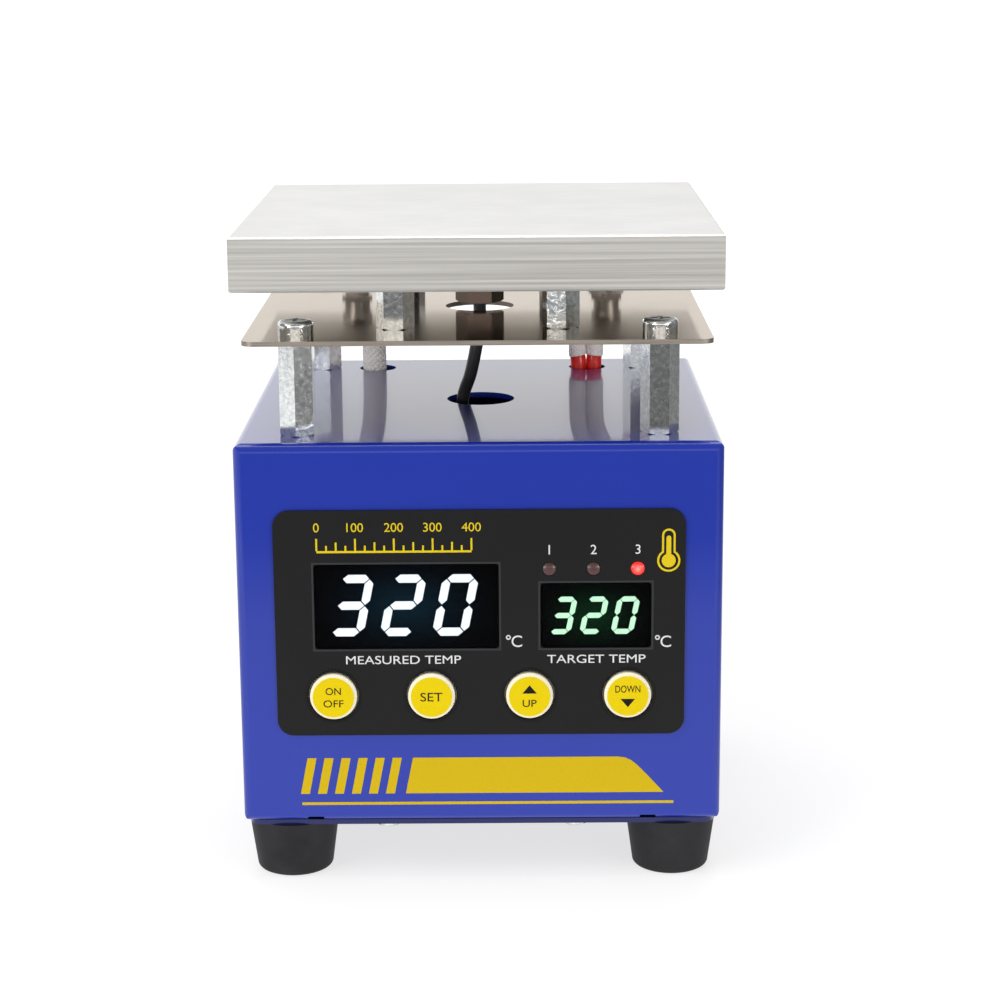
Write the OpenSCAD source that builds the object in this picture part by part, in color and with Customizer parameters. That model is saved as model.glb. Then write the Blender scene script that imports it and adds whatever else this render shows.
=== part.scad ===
// Bench-top PCB preheater: a thick aluminium heating plate stands on hex pillars above a
// polished heat shield and a folded steel case that holds the temperature controller.
// Millimetres, +Z up, front towards -Y, origin on the bench in the middle of the four feet.

/* [Case] */
// Width of the folded case
case_w = 101; // [100:0.5:120]
// Depth of the folded case
case_d = 99; // [98:0.5:120]
// Height of the folded case
case_h = 81.8; // [80:0.2:100]
// Thickness of the case sheet
sheet_t = 1.2; // [0.8:0.1:1.4]
// Outside radius of every fold
fold_r = 1.8; // [1.6:0.1:3]
// Width of the flanges folded in under the case
flange_w = 10; // [9:0.5:12]
// Corner left open between two flanges, from the case side
flange_corner = 17; // [16:0.5:20]
// Width of the relief notch at each end of a flange
relief_w = 3.4; // [2:0.1:5]
// Height of the relief notches
relief_h = 1; // [0.6:0.1:2]
// Thickness of the base plate
base_t = 1.1; // [0.8:0.1:2]
// Step from the case side to the edge of the base plate
base_inset = 1.2; // [0.5:0.1:2]
// Corner radius of the base plate
base_r = 2.5; // [1:0.1:4]
// Diameter of the sensor cable hole in the case top
cable_hole_d = 15; // [12:0.5:18]
// Distance of that hole in front of the case centre
cable_hole_y = 1.4; // [0:0.1:3]
// Diameter of the two heater lead holes in the case top
lead_hole_d = 8.6; // [8.4:0.1:11]
// Distance between the two heater lead holes
lead_pitch = 50; // [49:0.1:52]
// Distance of the lead holes behind the case centre
lead_y = 37.5; // [36.5:0.1:38.5]

/* [Vents] */
// Width of a vent slot
vent_w = 2.6; // [2:0.1:4]
// Height of the slots in the rear wall
rear_vent_h = 22; // [10:0.5:26]
// Number of slots in the rear wall
rear_vents = 9; // [3:2:11]
// Distance from one slot to the next
vent_pitch = 6; // [5:0.5:7]
// Distance from the case top to the upper end of the rear slots
rear_vent_drop = 13.5; // [8:0.5:16]
// Length of the slots in the base plate
base_vent_l = 26; // [10:0.5:30]
// Number of slots in the base plate
base_vents = 7; // [3:2:9]

/* [Feet] */
// Height of a rubber foot
foot_h = 12.2; // [10:0.2:16]
// Diameter of a foot where it meets the base
foot_top_d = 19.4; // [17:0.2:20]
// Diameter of a foot at the bench
foot_bottom_d = 16.4; // [14:0.2:19]
// Rounding of the edge at the bench
foot_edge_r = 1.2; // [0.5:0.1:2]
// Distance from the case sides to the middle of a foot
foot_inset = 9.9; // [9.8:0.1:11]
// Rubber between the screw head and the base
foot_web = 5.5; // [3:0.5:7]

/* [Control panel] */
// Width of the panel overlay
overlay_w = 85.2; // [84:0.2:90]
// Height of the panel overlay
overlay_h = 48.6; // [48:0.2:56]
// Thickness of the panel overlay
overlay_t = 0.6; // [0.4:0.1:1]
// Corner radius of the panel overlay
overlay_r = 3.4; // [1:0.2:5]
// Distance from the case top to the upper edge of the overlay
overlay_drop = 13.8; // [13:0.2:16]
// Width of the large display window
main_window_w = 38.3; // [30:0.1:39]
// Height of the large display window
main_window_h = 18.2; // [14:0.1:20]
// Distance of the large window left of the panel centre
main_window_x = 15.2; // [15:0.1:17]
// Width of the small display window
preset_window_w = 23; // [16:0.1:24]
// Height of the small display window
preset_window_h = 14; // [10:0.1:14.2]
// Distance of the small window right of the panel centre
preset_window_x = 24.1; // [23.5:0.1:25]
// Distance of the lower edge of both windows below the panel centre
window_drop = 5.4; // [4:0.1:6]
// Corner radius of both windows
window_r = 0.8; // [0.4:0.1:1.5]
// Thickness of the tinted window lenses
lens_t = 0.4; // [0.2:0.1:0.4]
// Diameter of an indicator lamp
lamp_d = 2.7; // [2:0.1:3]
// Distance from one indicator lamp to the next
lamp_pitch = 9.15; // [6:0.05:9.5]
// Distance of the lamp row above the panel centre
lamp_rise = 11.6; // [11.4:0.1:13]
// Distance of the middle lamp right of the panel centre
lamp_x = 23.6; // [22:0.1:25]

/* [Keys] */
// Diameter of a key cap
key_d = 9.8; // [8:0.1:10]
// Distance from one key to the next
key_pitch = 20.5; // [19.5:0.1:20.5]
// Distance of the key row below the panel centre
key_drop = 15.6; // [15:0.1:16]
// Height of a key cap above the overlay
key_proud = 1.2; // [0.8:0.1:2]
// Bevel round the face of a key cap
key_bevel = 0.6; // [0.3:0.1:1]
// Travel of a key
key_travel = 0.5; // [0.3:0.05:0.7]
// Clearance round a key cap in the panel
key_gap = 0.4; // [0.3:0.05:0.6]
// Diameter of the collar that keeps a key behind the panel
key_collar_d = 12; // [11.5:0.1:12.2]
// Thickness of that collar
key_collar_t = 1; // [0.6:0.1:1.2]
// Diameter of the stem that reaches the switch
key_stem_d = 3.4; // [2.5:0.1:4]
// Side of a square key switch
switch_w = 6; // [5.5:0.1:8]
// Height of a key switch on its board
switch_h = 3.5; // [3:0.1:4.5]

/* [Control board] */
// Thickness of both circuit boards
pcb_t = 1.6; // [1:0.1:2]
// Width of the control board
control_w = 83; // [82:0.5:90]
// Height of the control board
control_h = 46; // [45:0.5:50]
// Gap between the front wall and the control board
control_gap = 8; // [7.5:0.1:9]
// Sideways distance between the posts of the control board
post_pitch_x = 77.8; // [77.6:0.1:78.5]
// Upright distance between the posts of the control board
post_pitch_z = 41; // [41:0.1:42]
// Diameter of a post
post_d = 6; // [5:0.1:6]
// Side of the square controller chip
chip_w = 10; // [7:0.5:14]
// Thickness of the controller chip
chip_t = 1.5; // [1:0.1:2.5]
// Width of a plug header
header_w = 8; // [6:0.5:9]
// Height of a plug header
header_h = 6; // [4:0.5:8]
// Depth of a plug header
header_d = 6; // [5.8:0.1:6]
// Distance of the sensor header left of the panel centre
sensor_header_x = 4.5; // [3:0.1:6]
// Distance of the sensor header above the panel centre
sensor_header_rise = 15; // [13:0.5:17]
// Distance of the harness header right of the panel centre
harness_header_x = 31.5; // [30.5:0.1:32]
// Distance of the harness header below the panel centre
harness_header_drop = 1; // [0:0.5:4]

/* [Power board] */
// Width of the power board
power_w = 72; // [70:0.5:80]
// Depth of the power board
power_d = 52; // [51:0.5:54]
// Distance of the power board in front of the case centre
power_y = 4; // [3.5:0.1:4.5]
// Height of the pillars under the power board
power_lift = 6; // [5.8:0.1:9]
// Sideways distance between those pillars
power_pitch_x = 62; // [61:0.5:64]
// Depth distance between those pillars
power_pitch_y = 42; // [42:0.5:44]
// Width of the transformer core
core_w = 30; // [28:0.5:32]
// Depth of the transformer core
core_d = 12; // [10:0.5:14]
// Height of the transformer core
core_h = 25; // [22:0.5:30]
// Width of the outer limbs of the transformer core
core_limb = 5; // [4:0.5:6]
// Depth of the transformer coil
coil_d = 24; // [20:0.5:26]
// Width of the triac heatsink
sink_w = 23; // [20:0.5:24]
// Height of the triac heatsink
sink_h = 25; // [22:0.5:32]
// Depth of the triac heatsink
sink_d = 8; // [6:0.5:8.5]
// Thickness of the heatsink's plate
sink_plate = 3; // [2:0.5:4]
// Number of heatsink fins
sink_fins = 5; // [3:1:7]
// Diameter of the supply capacitor
capacitor_d = 10; // [8:0.5:11]
// Height of the supply capacitor
capacitor_h = 16; // [10:0.5:25]
// Length of the glass fuse
fuse_l = 20; // [18:0.5:21]
// Diameter of the glass fuse
fuse_d = 5; // [4:0.1:6]
// Height of a terminal block
terminal_h = 11; // [9:0.5:12]
// Depth of a terminal block
terminal_d = 8.2; // [7:0.1:9]
// Distance between the two poles of a terminal block
pole_pitch = 5.08; // [5:0.01:5.2]

/* [Mains inlet] */
// Height of the inlet's middle above the base plate
inlet_rise = 24.7; // [20:0.1:26]
// Width of the inlet's flange
inlet_flange_w = 50; // [48:0.5:54]
// Height of the inlet's flange
inlet_flange_h = 23; // [22:0.5:26]
// Thickness of the inlet's flange
inlet_flange_t = 1.8; // [1.8:0.1:3]
// Distance between the inlet's fixing screws
inlet_screw_pitch = 40; // [38:0.5:42]
// Width of the inlet's body
inlet_w = 27; // [26.6:0.1:28]
// Height of the inlet's body
inlet_h = 19.4; // [19:0.1:21]
// Depth of the inlet's body behind the rear wall
inlet_depth = 20; // [19:0.1:21]
// Width of the socket in the inlet
socket_w = 24.4; // [24.2:0.1:24.8]
// Height of the socket in the inlet
socket_h = 16; // [15.8:0.1:16.4]
// Depth of the socket in the inlet
socket_depth = 16.5; // [16:0.1:17.5]
// Length of the pins inside the socket
pin_l = 9; // [8:0.1:12]

/* [Pillars and shield] */
// Width across the flats of the hex pillars
hex_af = 7; // [6:0.1:8]
// Height of the pillars that carry the heat shield
pillar_h = 20.4; // [15:0.1:30]
// Sideways distance between those pillars
pillar_pitch_x = 75.4; // [72:0.2:78]
// Depth distance between those pillars
pillar_pitch_y = 76.8; // [74:0.2:80]
// Width of the heat shield
shield_w = 96; // [92:0.5:110]
// Depth of the heat shield
shield_d = 100; // [94:0.5:110]
// Thickness of the heat shield
shield_t = 1; // [0.6:0.1:1.5]
// Corner radius of the heat shield
shield_r = 2.5; // [1:0.1:5]
// Diameter of the sensor hole in the heat shield
sensor_hole_d = 15; // [13:0.5:18]
// Height of the risers that carry the heating plate
riser_h = 9.9; // [9.4:0.1:14]
// Sideways distance between the risers
riser_pitch_x = 34.6; // [30:0.2:40]
// Depth distance between the risers
riser_pitch_y = 66; // [60:0.2:67]

/* [Heating plate] */
// Width of the heating plate
plate_w = 100; // [96:0.5:120]
// Depth of the heating plate
plate_d = 100; // [98:0.5:120]
// Thickness of the heating plate
plate_t = 11.3; // [10.5:0.1:14]
// Bevel along the edges of the heating plate
plate_bevel = 0.4; // [0.2:0.1:1]
// Diameter of the tubular heating element
element_d = 7; // [6:0.1:7.5]
// Distance between the two legs of the heating element
element_pitch = 59; // [58:0.2:60]
// Distance from the front edge of the plate to the element's cross leg
element_setback = 8.5; // [6:0.1:8.5]
// Bend radius of the element's front corners
element_bend = 12; // [9:0.5:16]
// Radius of the bend that turns each end of the element down
element_drop_bend = 8; // [7.5:0.1:8.5]
// Distance of the sensor in front of the plate centre
sensor_y = 4; // [3:0.1:5]
// Width across the flats of the sensor
sensor_af = 9.2; // [8:0.1:10]
// Height of the sensor's hex body
sensor_h = 8.8; // [7:0.1:9]

/* [Hidden] */
$fn = 48;

// Clearance of a threaded shank in its hole
thread_gap = 0.05;
// Clearance of a screw in a through hole
screw_gap = 0.2;
// Clearance of a piece that sits in a cut-out
seat_gap = 0.1;
// Extra length that carries a cut past a face
past = 1;

// Diameters of the two screw sizes, of their heads and the height of those heads
m3_d = 3;
m3_head_d = 5.5;
m3_head_h = 1.6;
m4_d = 4;
m4_head_d = 7.4;
m4_head_h = 2.6;
// Width across the flats and height of the nuts on the foot screws
m4_nut_af = 7;
m4_nut_h = 3.2;
// Cross recess of the screws: blade width and depth, and its span as a share of the head
cross_w = 0.9;
cross_depth = 1.2;
cross_span = 0.55;
// Rounding of a screw head's rim, as a share of its height
head_rim = 0.36;
// Corner bevel at the ends of hex parts
hex_bevel = 0.5;
// Turn of each pillar and riser about its own axis, as tightened
pillar_turn = [27, -4, -11, -6];
riser_turn = [-4, -17, 12, 24];

// Heights of the stack, from the bench up
floor_z = foot_h + base_t;
top_z = floor_z + case_h;
shield_z = top_z + pillar_h;
plate_z = shield_z + shield_t + riser_h;

// Faces of the case and heights on its front wall
front_y = -case_d / 2;
rear_y = case_d / 2;
panel_z = top_z - overlay_drop - overlay_h / 2;
main_z = panel_z - window_drop + main_window_h / 2;
preset_z = panel_z - window_drop + preset_window_h / 2;
key_z = panel_z - key_drop;
lamp_z = panel_z + lamp_rise;
key_xs = [for (i = [-1.5:1.5]) i * key_pitch];
lamp_xs = [for (i = [-1:1]) lamp_x + i * lamp_pitch];

// Depths behind the outer face of the front wall
control_depth = sheet_t + control_gap;
switch_depth = control_depth - switch_h;
collar_depth = sheet_t + seat_gap;
// Room behind a pressed stem, and how far the stem stands in its switch at rest
plunger_gap = 0.7;
plunger_room = key_travel + plunger_gap;
stem_entry = 0.5;
// Flange, height and step of an indicator lamp, and its leg
lamp_rim = 0.35;
lamp_rim_t = 1;
lamp_body_l = 4.5;
lamp_proud = 0.3;
lamp_leg = 0.6;

// Screw places of the base plate on the front and rear flanges
base_screw_x = 20;
base_screw_inset = 6;
base_screw_l = 4.4;
// Thread that shows past a foot's nut, and room for a driver round the foot screw's head
thread_end = 1;
driver_gap = 0.8;
foot_screw_l = foot_web + base_t + m4_nut_h + thread_end;
foot_bore_d = m4_head_d + 2 * driver_gap;
// Angle between two points of a foot's rounded edge
arc_step = 18;

// Earth blade lanced up from the base plate
earth_x = -24;
earth_setback = 18.5;
earth_y = rear_y - earth_setback;
earth_w = 6.3;
earth_h = 8;

// Power board surface and the places of its parts
power_z = floor_z + power_lift + pcb_t;
core_x = -18;
core_y = -8;
core_foot = 5;
core_centre = 2 * core_limb;
sink_x = 14.5;
sink_front_y = -29;
fin_t = 1.2;
triac_w = 10;
triac_d = 4.5;
triac_h = 15;
triac_lift = 6;
triac_leg = 0.9;
triac_leg_pitch = 2.54;
capacitor_x = 10;
capacitor_y = -6;
fuse_x = 22;
fuse_y = 4;
fuse_lift = 6;
fuse_cap_l = 5;
fuse_cap_t = 0.2;
clip_w = 4;
clip_t = 0.6;
terminal_y = 14;
terminal_xs = [0, 22];
pole_d = 3.4;
pole_depth = 5;

// Inlet height and its inside sizes
inlet_z = floor_z + inlet_rise;
socket_bevel = 4.5;
pin_w = 2;
pin_h = 4;
pin_pitch = 14;
pin_offset = 2;
tab_l = 10.5;
inlet_edge_r = 2;

// Pillar and riser screws, and the stud on top of each riser
pillar_screw_l = 8;
riser_screw_l = 6;
riser_stud_l = 7;
riser_head_h = 2;
sensor_thread_d = 6;
sensor_thread_l = 7.5;

// Element: height of its axis, place of its ends and its terminal
element_z = plate_z + plate_t / 2;
element_end_y = 36;
element_cross_y = -plate_d / 2 + element_setback;
terminal_bar_w = 7;
terminal_bar_d = 2.4;
terminal_bar_h = 1.2;
bead_d = 6;
bead_h = 2.55;
shield_lead_x = 28;
shield_lead_y = 36.5;
shield_lead_d = 10;

// Cables: radius of each, sides of their tubes and rings between two points of a route
wire_r = 1.2;
sensor_cable_r = 1.4;
strand_r = 1.4;
strand_offset = 2.05;
bundle_r = 1.1;
bundle_offset = 1.15;
sleeve_gap = 0.4;
single_sleeve_r = 1.98;
bundle_sleeve_r = 2.9;
tube_sides = 8;
rings = 2;
ribbon_w = 6;
ribbon_t = 1.2;
// Share of its full size that a lead keeps at its end, and where along it that change lies
strand_neck = 0.4;
neck_start = 0.5;
neck_length = 0.3;

// Places where the cables end: sensor, element terminals, headers, poles, inlet tabs and earth blade
sensor_end = plate_z - sensor_h;
lead_gap = 0.3;
lead_end = element_z - element_drop_bend - bead_h - terminal_bar_h - lead_gap;
lead_x = element_pitch / 2;
hole_x = lead_pitch / 2;
hole_y = lead_y;
header_y = front_y + control_depth + pcb_t + header_d;
sensor_header_z = panel_z + sensor_header_rise;
harness_header_z = panel_z - harness_header_drop;
wire_gap = 1.1;
pole_z = power_z + terminal_h - pole_depth + wire_gap;
pole_x = [for (x = terminal_xs, side = [-1, 1]) x + side * pole_pitch / 2];
tab_y = rear_y - inlet_depth - tab_l;
live_z = inlet_z - pin_offset;
earth_z = inlet_z + pin_offset;
blade_z = floor_z + earth_h;

// Heights between which each lead sleeve runs
sleeve_rise = 2.6;
left_sleeve_dip = 5;
right_sleeve_lift = 3;
sleeve_top = shield_z + shield_t + sleeve_rise;
left_sleeve_end = top_z - left_sleeve_dip;
right_sleeve_end = top_z + right_sleeve_lift;

// Height at a share of the way from the case top up to the sensor, down to the poles,
// or from the power board up to the harness header
function above_top(share) = top_z + share * (sensor_end - top_z);
function below_top(share) = top_z - share * (top_z - pole_z);
function above_board(share) = power_z + share * (harness_header_z - power_z);

sensor_route = [
    [0, -sensor_y, sensor_end], [0, -sensor_y, above_top(0.85)], [-0.3, -sensor_y, above_top(0.7)],
    [-0.9, -sensor_y, above_top(0.53)], [-2.2, -3, above_top(0.26)], [-3.8, -1.5, above_top(0.04)],
    [-4.5, -1.5, below_top(0.08)], [-4.5, -8, below_top(0.23)],
    [-sensor_header_x, header_y + 13, sensor_header_z + 2],
    [-sensor_header_x, header_y + 5, sensor_header_z], [-sensor_header_x, header_y, sensor_header_z]
];
left_route = [
    [-lead_x, element_end_y, lead_end], [-lead_x, element_end_y, lead_end - 1.5],
    [-28.2, 36.5, above_top(0.93)], [-hole_x - 1.4, hole_y - 0.5, above_top(0.66)],
    [-hole_x - 0.8, hole_y - 0.5, above_top(0.35)], [-hole_x - 0.7, hole_y - 0.5, top_z],
    [-hole_x, hole_y - 1, below_top(0.14)], [-18, 31, below_top(0.28)],
    [-4, 22, below_top(0.42)], [11, 15, below_top(0.55)], [18, terminal_y, below_top(0.67)],
    [pole_x[2], terminal_y, below_top(0.79)], [pole_x[2], terminal_y, below_top(0.91)],
    [pole_x[2], terminal_y, pole_z]
];
right_route = [
    [lead_x, element_end_y, lead_end], [lead_x, element_end_y, lead_end - 1.5],
    [28, 36.5, above_top(0.93)], [hole_x + 0.3, hole_y - 0.5, above_top(0.66)],
    [hole_x - 0.2, hole_y - 0.5, above_top(0.35)], [hole_x - 0.2, hole_y - 0.5, top_z],
    [hole_x, hole_y - 1, below_top(0.14)], [27, 30, below_top(0.28)],
    [27, 22, below_top(0.46)], [26, 16, below_top(0.61)], [pole_x[3], terminal_y, below_top(0.76)],
    [pole_x[3], terminal_y, below_top(0.91)], [pole_x[3], terminal_y, pole_z]
];
live_route = [
    [-pin_pitch / 2, tab_y, live_z], [-pin_pitch / 2, tab_y - 1.5, live_z],
    [-5.6, (tab_y + terminal_y) / 2 - 1, live_z - 0.6], [-3.2, terminal_y + 0.2, pole_z + 6],
    [pole_x[0], terminal_y, pole_z + 3], [pole_x[0], terminal_y, pole_z]
];
earth_route = [
    [0, tab_y, earth_z], [0, tab_y - 2.5, earth_z], [-2.5, tab_y - 5.5, earth_z + 2],
    [-9, tab_y - 5.5, earth_z + 2.5], [-16, tab_y, earth_z - 2], [-22, earth_y - 4, blade_z + 10],
    [earth_x, earth_y, blade_z + 3], [earth_x, earth_y, blade_z]
];
harness_route = [
    [harness_header_x, -12, power_z], [harness_header_x, -12, above_board(0.3)],
    [harness_header_x, -13, above_board(0.65)], [harness_header_x, header_y + 14, above_board(0.92)],
    [harness_header_x, header_y + 7, harness_header_z], [harness_header_x, header_y, harness_header_z]
];

case_blue = [0.17, 0.24, 0.66];
panel_black = [0.11, 0.11, 0.12];
key_yellow = [0.96, 0.84, 0.2];
rubber_black = [0.16, 0.16, 0.17];
board_green = [0.1, 0.36, 0.2];
steel_grey = [0.76, 0.76, 0.77];
zinc_white = [0.84, 0.84, 0.82];
plate_silver = [0.82, 0.82, 0.81];
lens_smoke = [0.2, 0.2, 0.22, 0.6];
lamp_red = [0.85, 0.25, 0.2];
part_black = [0.09, 0.09, 0.1];
brass = [0.8, 0.66, 0.32];
sleeve_white = [0.9, 0.87, 0.83];
lead_red = [0.8, 0.12, 0.1];
wire_brown = [0.4, 0.22, 0.1];
wire_blue = [0.1, 0.3, 0.75];
wire_green = [0.3, 0.6, 0.15];
copper = [0.72, 0.45, 0.2];
glass_clear = [0.85, 0.9, 0.9, 0.5];
ceramic_white = [0.9, 0.9, 0.86];

// Rectangle with round corners, centred
module round_rect(w, h, r) {
    square([w - 2 * r, h], center = true);
    square([w, h - 2 * r], center = true);
    for (x = [-1, 1], y = [-1, 1])
        translate([x * (w / 2 - r), y * (h / 2 - r)])
            circle(r);
}

// Plate with round upright edges, standing on z = 0
module slab(w, d, h, r) {
    linear_extrude(h)
        round_rect(w, d, r);
}

// Box whose twelve edges are all rounded as sheet folds
module folded_box(w, d, h, r) {
    intersection() {
        slab(w, d, h, r);
        translate([0, 0, h / 2])
            rotate([90, 0, 0])
                linear_extrude(d, center = true)
                    round_rect(w, h, r);
        translate([0, 0, h / 2])
            rotate([90, 0, 90])
                linear_extrude(w, center = true)
                    round_rect(d, h, r);
    }
}

// Puts children on the front wall: their z points out of it and their y points up
module on_front(x, z) {
    translate([x, front_y, z])
        rotate([90, 0, 0])
            children();
}

// Puts children on the rear wall: their z points out of it and their y points up
module on_rear(x, z) {
    translate([x, rear_y, z])
        rotate([90, 0, 180])
            children();
}

// Repeats children at the four corners of a rectangle
module at_corners(pitch_x, pitch_y) {
    for (x = [-1, 1], y = [-1, 1])
        translate([x * pitch_x / 2, y * pitch_y / 2])
            children();
}

// Pan head screw with its seat on z = 0, head up and shank down
module pan_screw(d, l, head_d, head_h) {
    rim = head_rim * head_h;
    difference() {
        union() {
            rotate_extrude() {
                square([head_d / 2 - rim, head_h]);
                square([head_d / 2, head_h - rim]);
                translate([head_d / 2 - rim, head_h - rim])
                    circle(rim);
            }
            translate([0, 0, -l])
                cylinder(h = l + head_h / 2, d = d - 2 * thread_gap);
        }
        for (turn = [0, 90])
            rotate(turn)
                translate([-head_d * cross_span / 2, -cross_w / 2, head_h - cross_depth])
                    cube([head_d * cross_span, cross_w, cross_depth + past]);
    }
}

// Hex prism from z = 0 up with its end corners turned off
module hex_bar(af, h) {
    corner_r = af / sqrt(3);
    intersection() {
        cylinder(h = h, r = corner_r, $fn = 6);
        rotate_extrude()
            polygon([
                [0, 0], [corner_r - hex_bevel, 0], [corner_r, hex_bevel / 2],
                [corner_r, h - hex_bevel / 2], [corner_r - hex_bevel, h], [0, h]
            ]);
    }
}

// Block centred on x and y whose edges are bevelled all round
module bevelled_block(w, d, h, bevel) {
    intersection() {
        bevelled_prism(w, h, bevel, d);
        rotate(90)
            bevelled_prism(d, h, bevel, w);
    }
}

// Bar along y with an octagon section, w wide and h high
module bevelled_prism(w, h, bevel, l) {
    rotate([90, 0, 0])
        linear_extrude(l, center = true)
            polygon([
                [-w / 2 + bevel, 0], [w / 2 - bevel, 0], [w / 2, bevel], [w / 2, h - bevel],
                [w / 2 - bevel, h], [-w / 2 + bevel, h], [-w / 2, h - bevel], [-w / 2, bevel]
            ]);
}

// Slot with round ends along y, centred
module slot(w, l) {
    square([w, l - w], center = true);
    for (y = [-1, 1])
        translate([0, y * (l - w) / 2])
            circle(d = w);
}

function unit(v) = v / norm(v);

// Part of v that lies square to the heading t, at unit length
function square_to(v, t) = unit(v - (v * t) * t);

// Point at share s of the curve from b to c that passes a, b, c and d
function curve_point(a, b, c, d, s) =
    b + s / 2 * (c - a + s * (2 * a - 5 * b + 4 * c - d + s * (3 * (b - c) + d - a)));

// Smooth path through the points of a route, whose first and last stretches stay straight
function smooth(route) = let (last = len(route) - 1) [
    route[0],
    for (i = [1:last - 2], k = [0:rings - 1])
        curve_point(route[i - 1], route[i], route[i + 1], route[i + 2], k / rings),
    route[last - 1],
    route[last]
];

// Direction of a path at its point i
function heading(path, i) = unit(path[min(i + 1, len(path) - 1)] - path[max(i - 1, 0)]);

// Sideways direction at each point of a path, carried along it without twist
function sideways(path, start) = [
    for (
        i = 0, v = square_to(start, heading(path, 0));
        i < len(path);
        i = i + 1, v = square_to(v, heading(path, min(i, len(path) - 1)))
    ) v
];

// Share of its full size that a lead keeps at share s of its length
function neck(s) = 1 - (1 - strand_neck) * min(max((s - neck_start) / neck_length, 0), 1);

// One ring of points round a path's point
function ring(centre, side, t, r) = [
    for (k = [0:tube_sides - 1])
        centre + r * (cos(360 * k / tube_sides) * side + sin(360 * k / tube_sides) * cross(t, side))
];

// Side faces between ring a and ring b of n points each
function skin(a, b, n) = [for (k = [0:n - 1]) [a + k, a + (k + 1) % n, b + (k + 1) % n, b + k]];

// Closed solid through a list of rings
module loft(sections) {
    n = len(sections[0]);
    last = len(sections) - 1;
    points = [for (section = sections, point = section) point];
    sides = [for (i = [0:last - 1], face = skin(i * n, (i + 1) * n, n)) face];
    caps = [[for (k = [n - 1:-1:0]) k], [for (k = [0:n - 1]) last * n + k]];
    polyhedron(points = points, faces = concat(sides, caps));
}

// Round cable along a path
module cable(path, r, start = [1, 0, 0]) {
    sides = sideways(path, start);
    loft([for (i = [0:len(path) - 1]) ring(path[i], sides[i], heading(path, i), r)]);
}

// Open tube along a path
module sleeve(path, outer_r, inner_r, start = [1, 0, 0]) {
    n = tube_sides;
    count = len(path);
    sides = sideways(path, start);
    outer = [for (i = [0:count - 1]) ring(path[i], sides[i], heading(path, i), outer_r)];
    inner = [for (i = [0:count - 1]) ring(path[i], sides[i], heading(path, i), inner_r)];
    points = [for (section = concat(outer, inner), point = section) point];
    inside = count * n;
    last = (count - 1) * n;
    outer_faces = [for (i = [0:count - 2], face = skin(i * n, (i + 1) * n, n)) face];
    inner_faces = [for (i = [0:count - 2], face = skin(inside + (i + 1) * n, inside + i * n, n)) face];
    ends = concat(skin(inside, 0, n), skin(last, inside + last, n));
    polyhedron(points = points, faces = concat(outer_faces, inner_faces, ends));
}

// Path that runs beside another, off to one side by a distance that shrinks at its neck
function beside(path, offset) = let (sides = sideways(path, [1, 0, 0]), last = len(path) - 1) [
    for (i = [0:last]) path[i] + offset * neck(i / last) * sides[i]
];

// Two strands that run side by side along a route and thin out at its end
module lead_pair(route, r, offset) {
    path = smooth(route);
    last = len(path) - 1;
    for (side = [-1, 1]) {
        strand = beside(path, side * offset);
        sides = sideways(strand, [1, 0, 0]);
        loft([for (i = [0:last]) ring(strand[i], sides[i], heading(strand, i), r * neck(i / last))]);
    }
}

// Stretch of a path between two heights
function between(path, high, low) = [for (p = path) if (p.z <= high && p.z >= low) p];

module case_shell() {
    inner_w = case_w - 2 * sheet_t;
    inner_d = case_d - 2 * sheet_t;
    color(case_blue)
        difference() {
            translate([0, 0, floor_z])
                folded_box(case_w, case_d, case_h, fold_r);
            translate([0, 0, floor_z + sheet_t])
                folded_box(inner_w, inner_d, case_h - 2 * sheet_t, fold_r - sheet_t);
            case_floor_cut(inner_w, inner_d);
            case_top_cuts();
            case_front_cuts();
            case_rear_cuts();
        }
}

// Opening between the flanges, and the corners between two flanges
module case_floor_cut(inner_w, inner_d) {
    cut_h = sheet_t + fold_r;
    translate([0, 0, floor_z - past]) {
        slab(case_w - 2 * flange_w, case_d - 2 * flange_w, cut_h + past, fold_r);
        linear_extrude(cut_h + past)
            intersection() {
                square([inner_w, inner_d], center = true);
                at_corners(inner_w, inner_d)
                    square(2 * (flange_corner - sheet_t), center = true);
            }
    }
    for (x = [-1, 1], y = [-1, 1])
        translate([x * base_screw_x, y * (case_d / 2 - base_screw_inset), floor_z - past])
            cylinder(h = cut_h + past, d = m3_d);
    relief_notches(case_w, case_d);
    rotate(90)
        relief_notches(case_d, case_w);
}

// Notches at the ends of the two flanges whose folds run along x
module relief_notches(w, d) {
    for (x = [-1, 1], y = [-1, 1])
        translate([x * (w / 2 - flange_corner + relief_w / 2), y * d / 2, floor_z])
            cube([relief_w, 2 * fold_r, 2 * relief_h], center = true);
}

module case_top_cuts() {
    translate([0, 0, top_z - sheet_t - past]) {
        at_corners(pillar_pitch_x, pillar_pitch_y)
            cylinder(h = sheet_t + 2 * past, d = m4_d + screw_gap);
        translate([0, -cable_hole_y])
            cylinder(h = sheet_t + 2 * past, d = cable_hole_d);
        for (x = [-1, 1])
            translate([x * lead_pitch / 2, lead_y])
                cylinder(h = sheet_t + 2 * past, d = lead_hole_d);
    }
}

module case_front_cuts() {
    cut = sheet_t + 2 * past;
    on_front(-main_window_x, main_z)
        translate([0, 0, -sheet_t - past])
            slab(main_window_w + 2 * seat_gap, main_window_h + 2 * seat_gap, cut, window_r);
    on_front(preset_window_x, preset_z)
        translate([0, 0, -sheet_t - past])
            slab(preset_window_w + 2 * seat_gap, preset_window_h + 2 * seat_gap, cut, window_r);
    for (x = lamp_xs)
        on_front(x, lamp_z)
            translate([0, 0, -sheet_t - past])
                cylinder(h = cut, d = lamp_d + 2 * screw_gap);
    for (x = key_xs)
        on_front(x, key_z)
            translate([0, 0, -sheet_t - past])
                cylinder(h = cut, d = key_d + 2 * key_gap);
}

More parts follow.
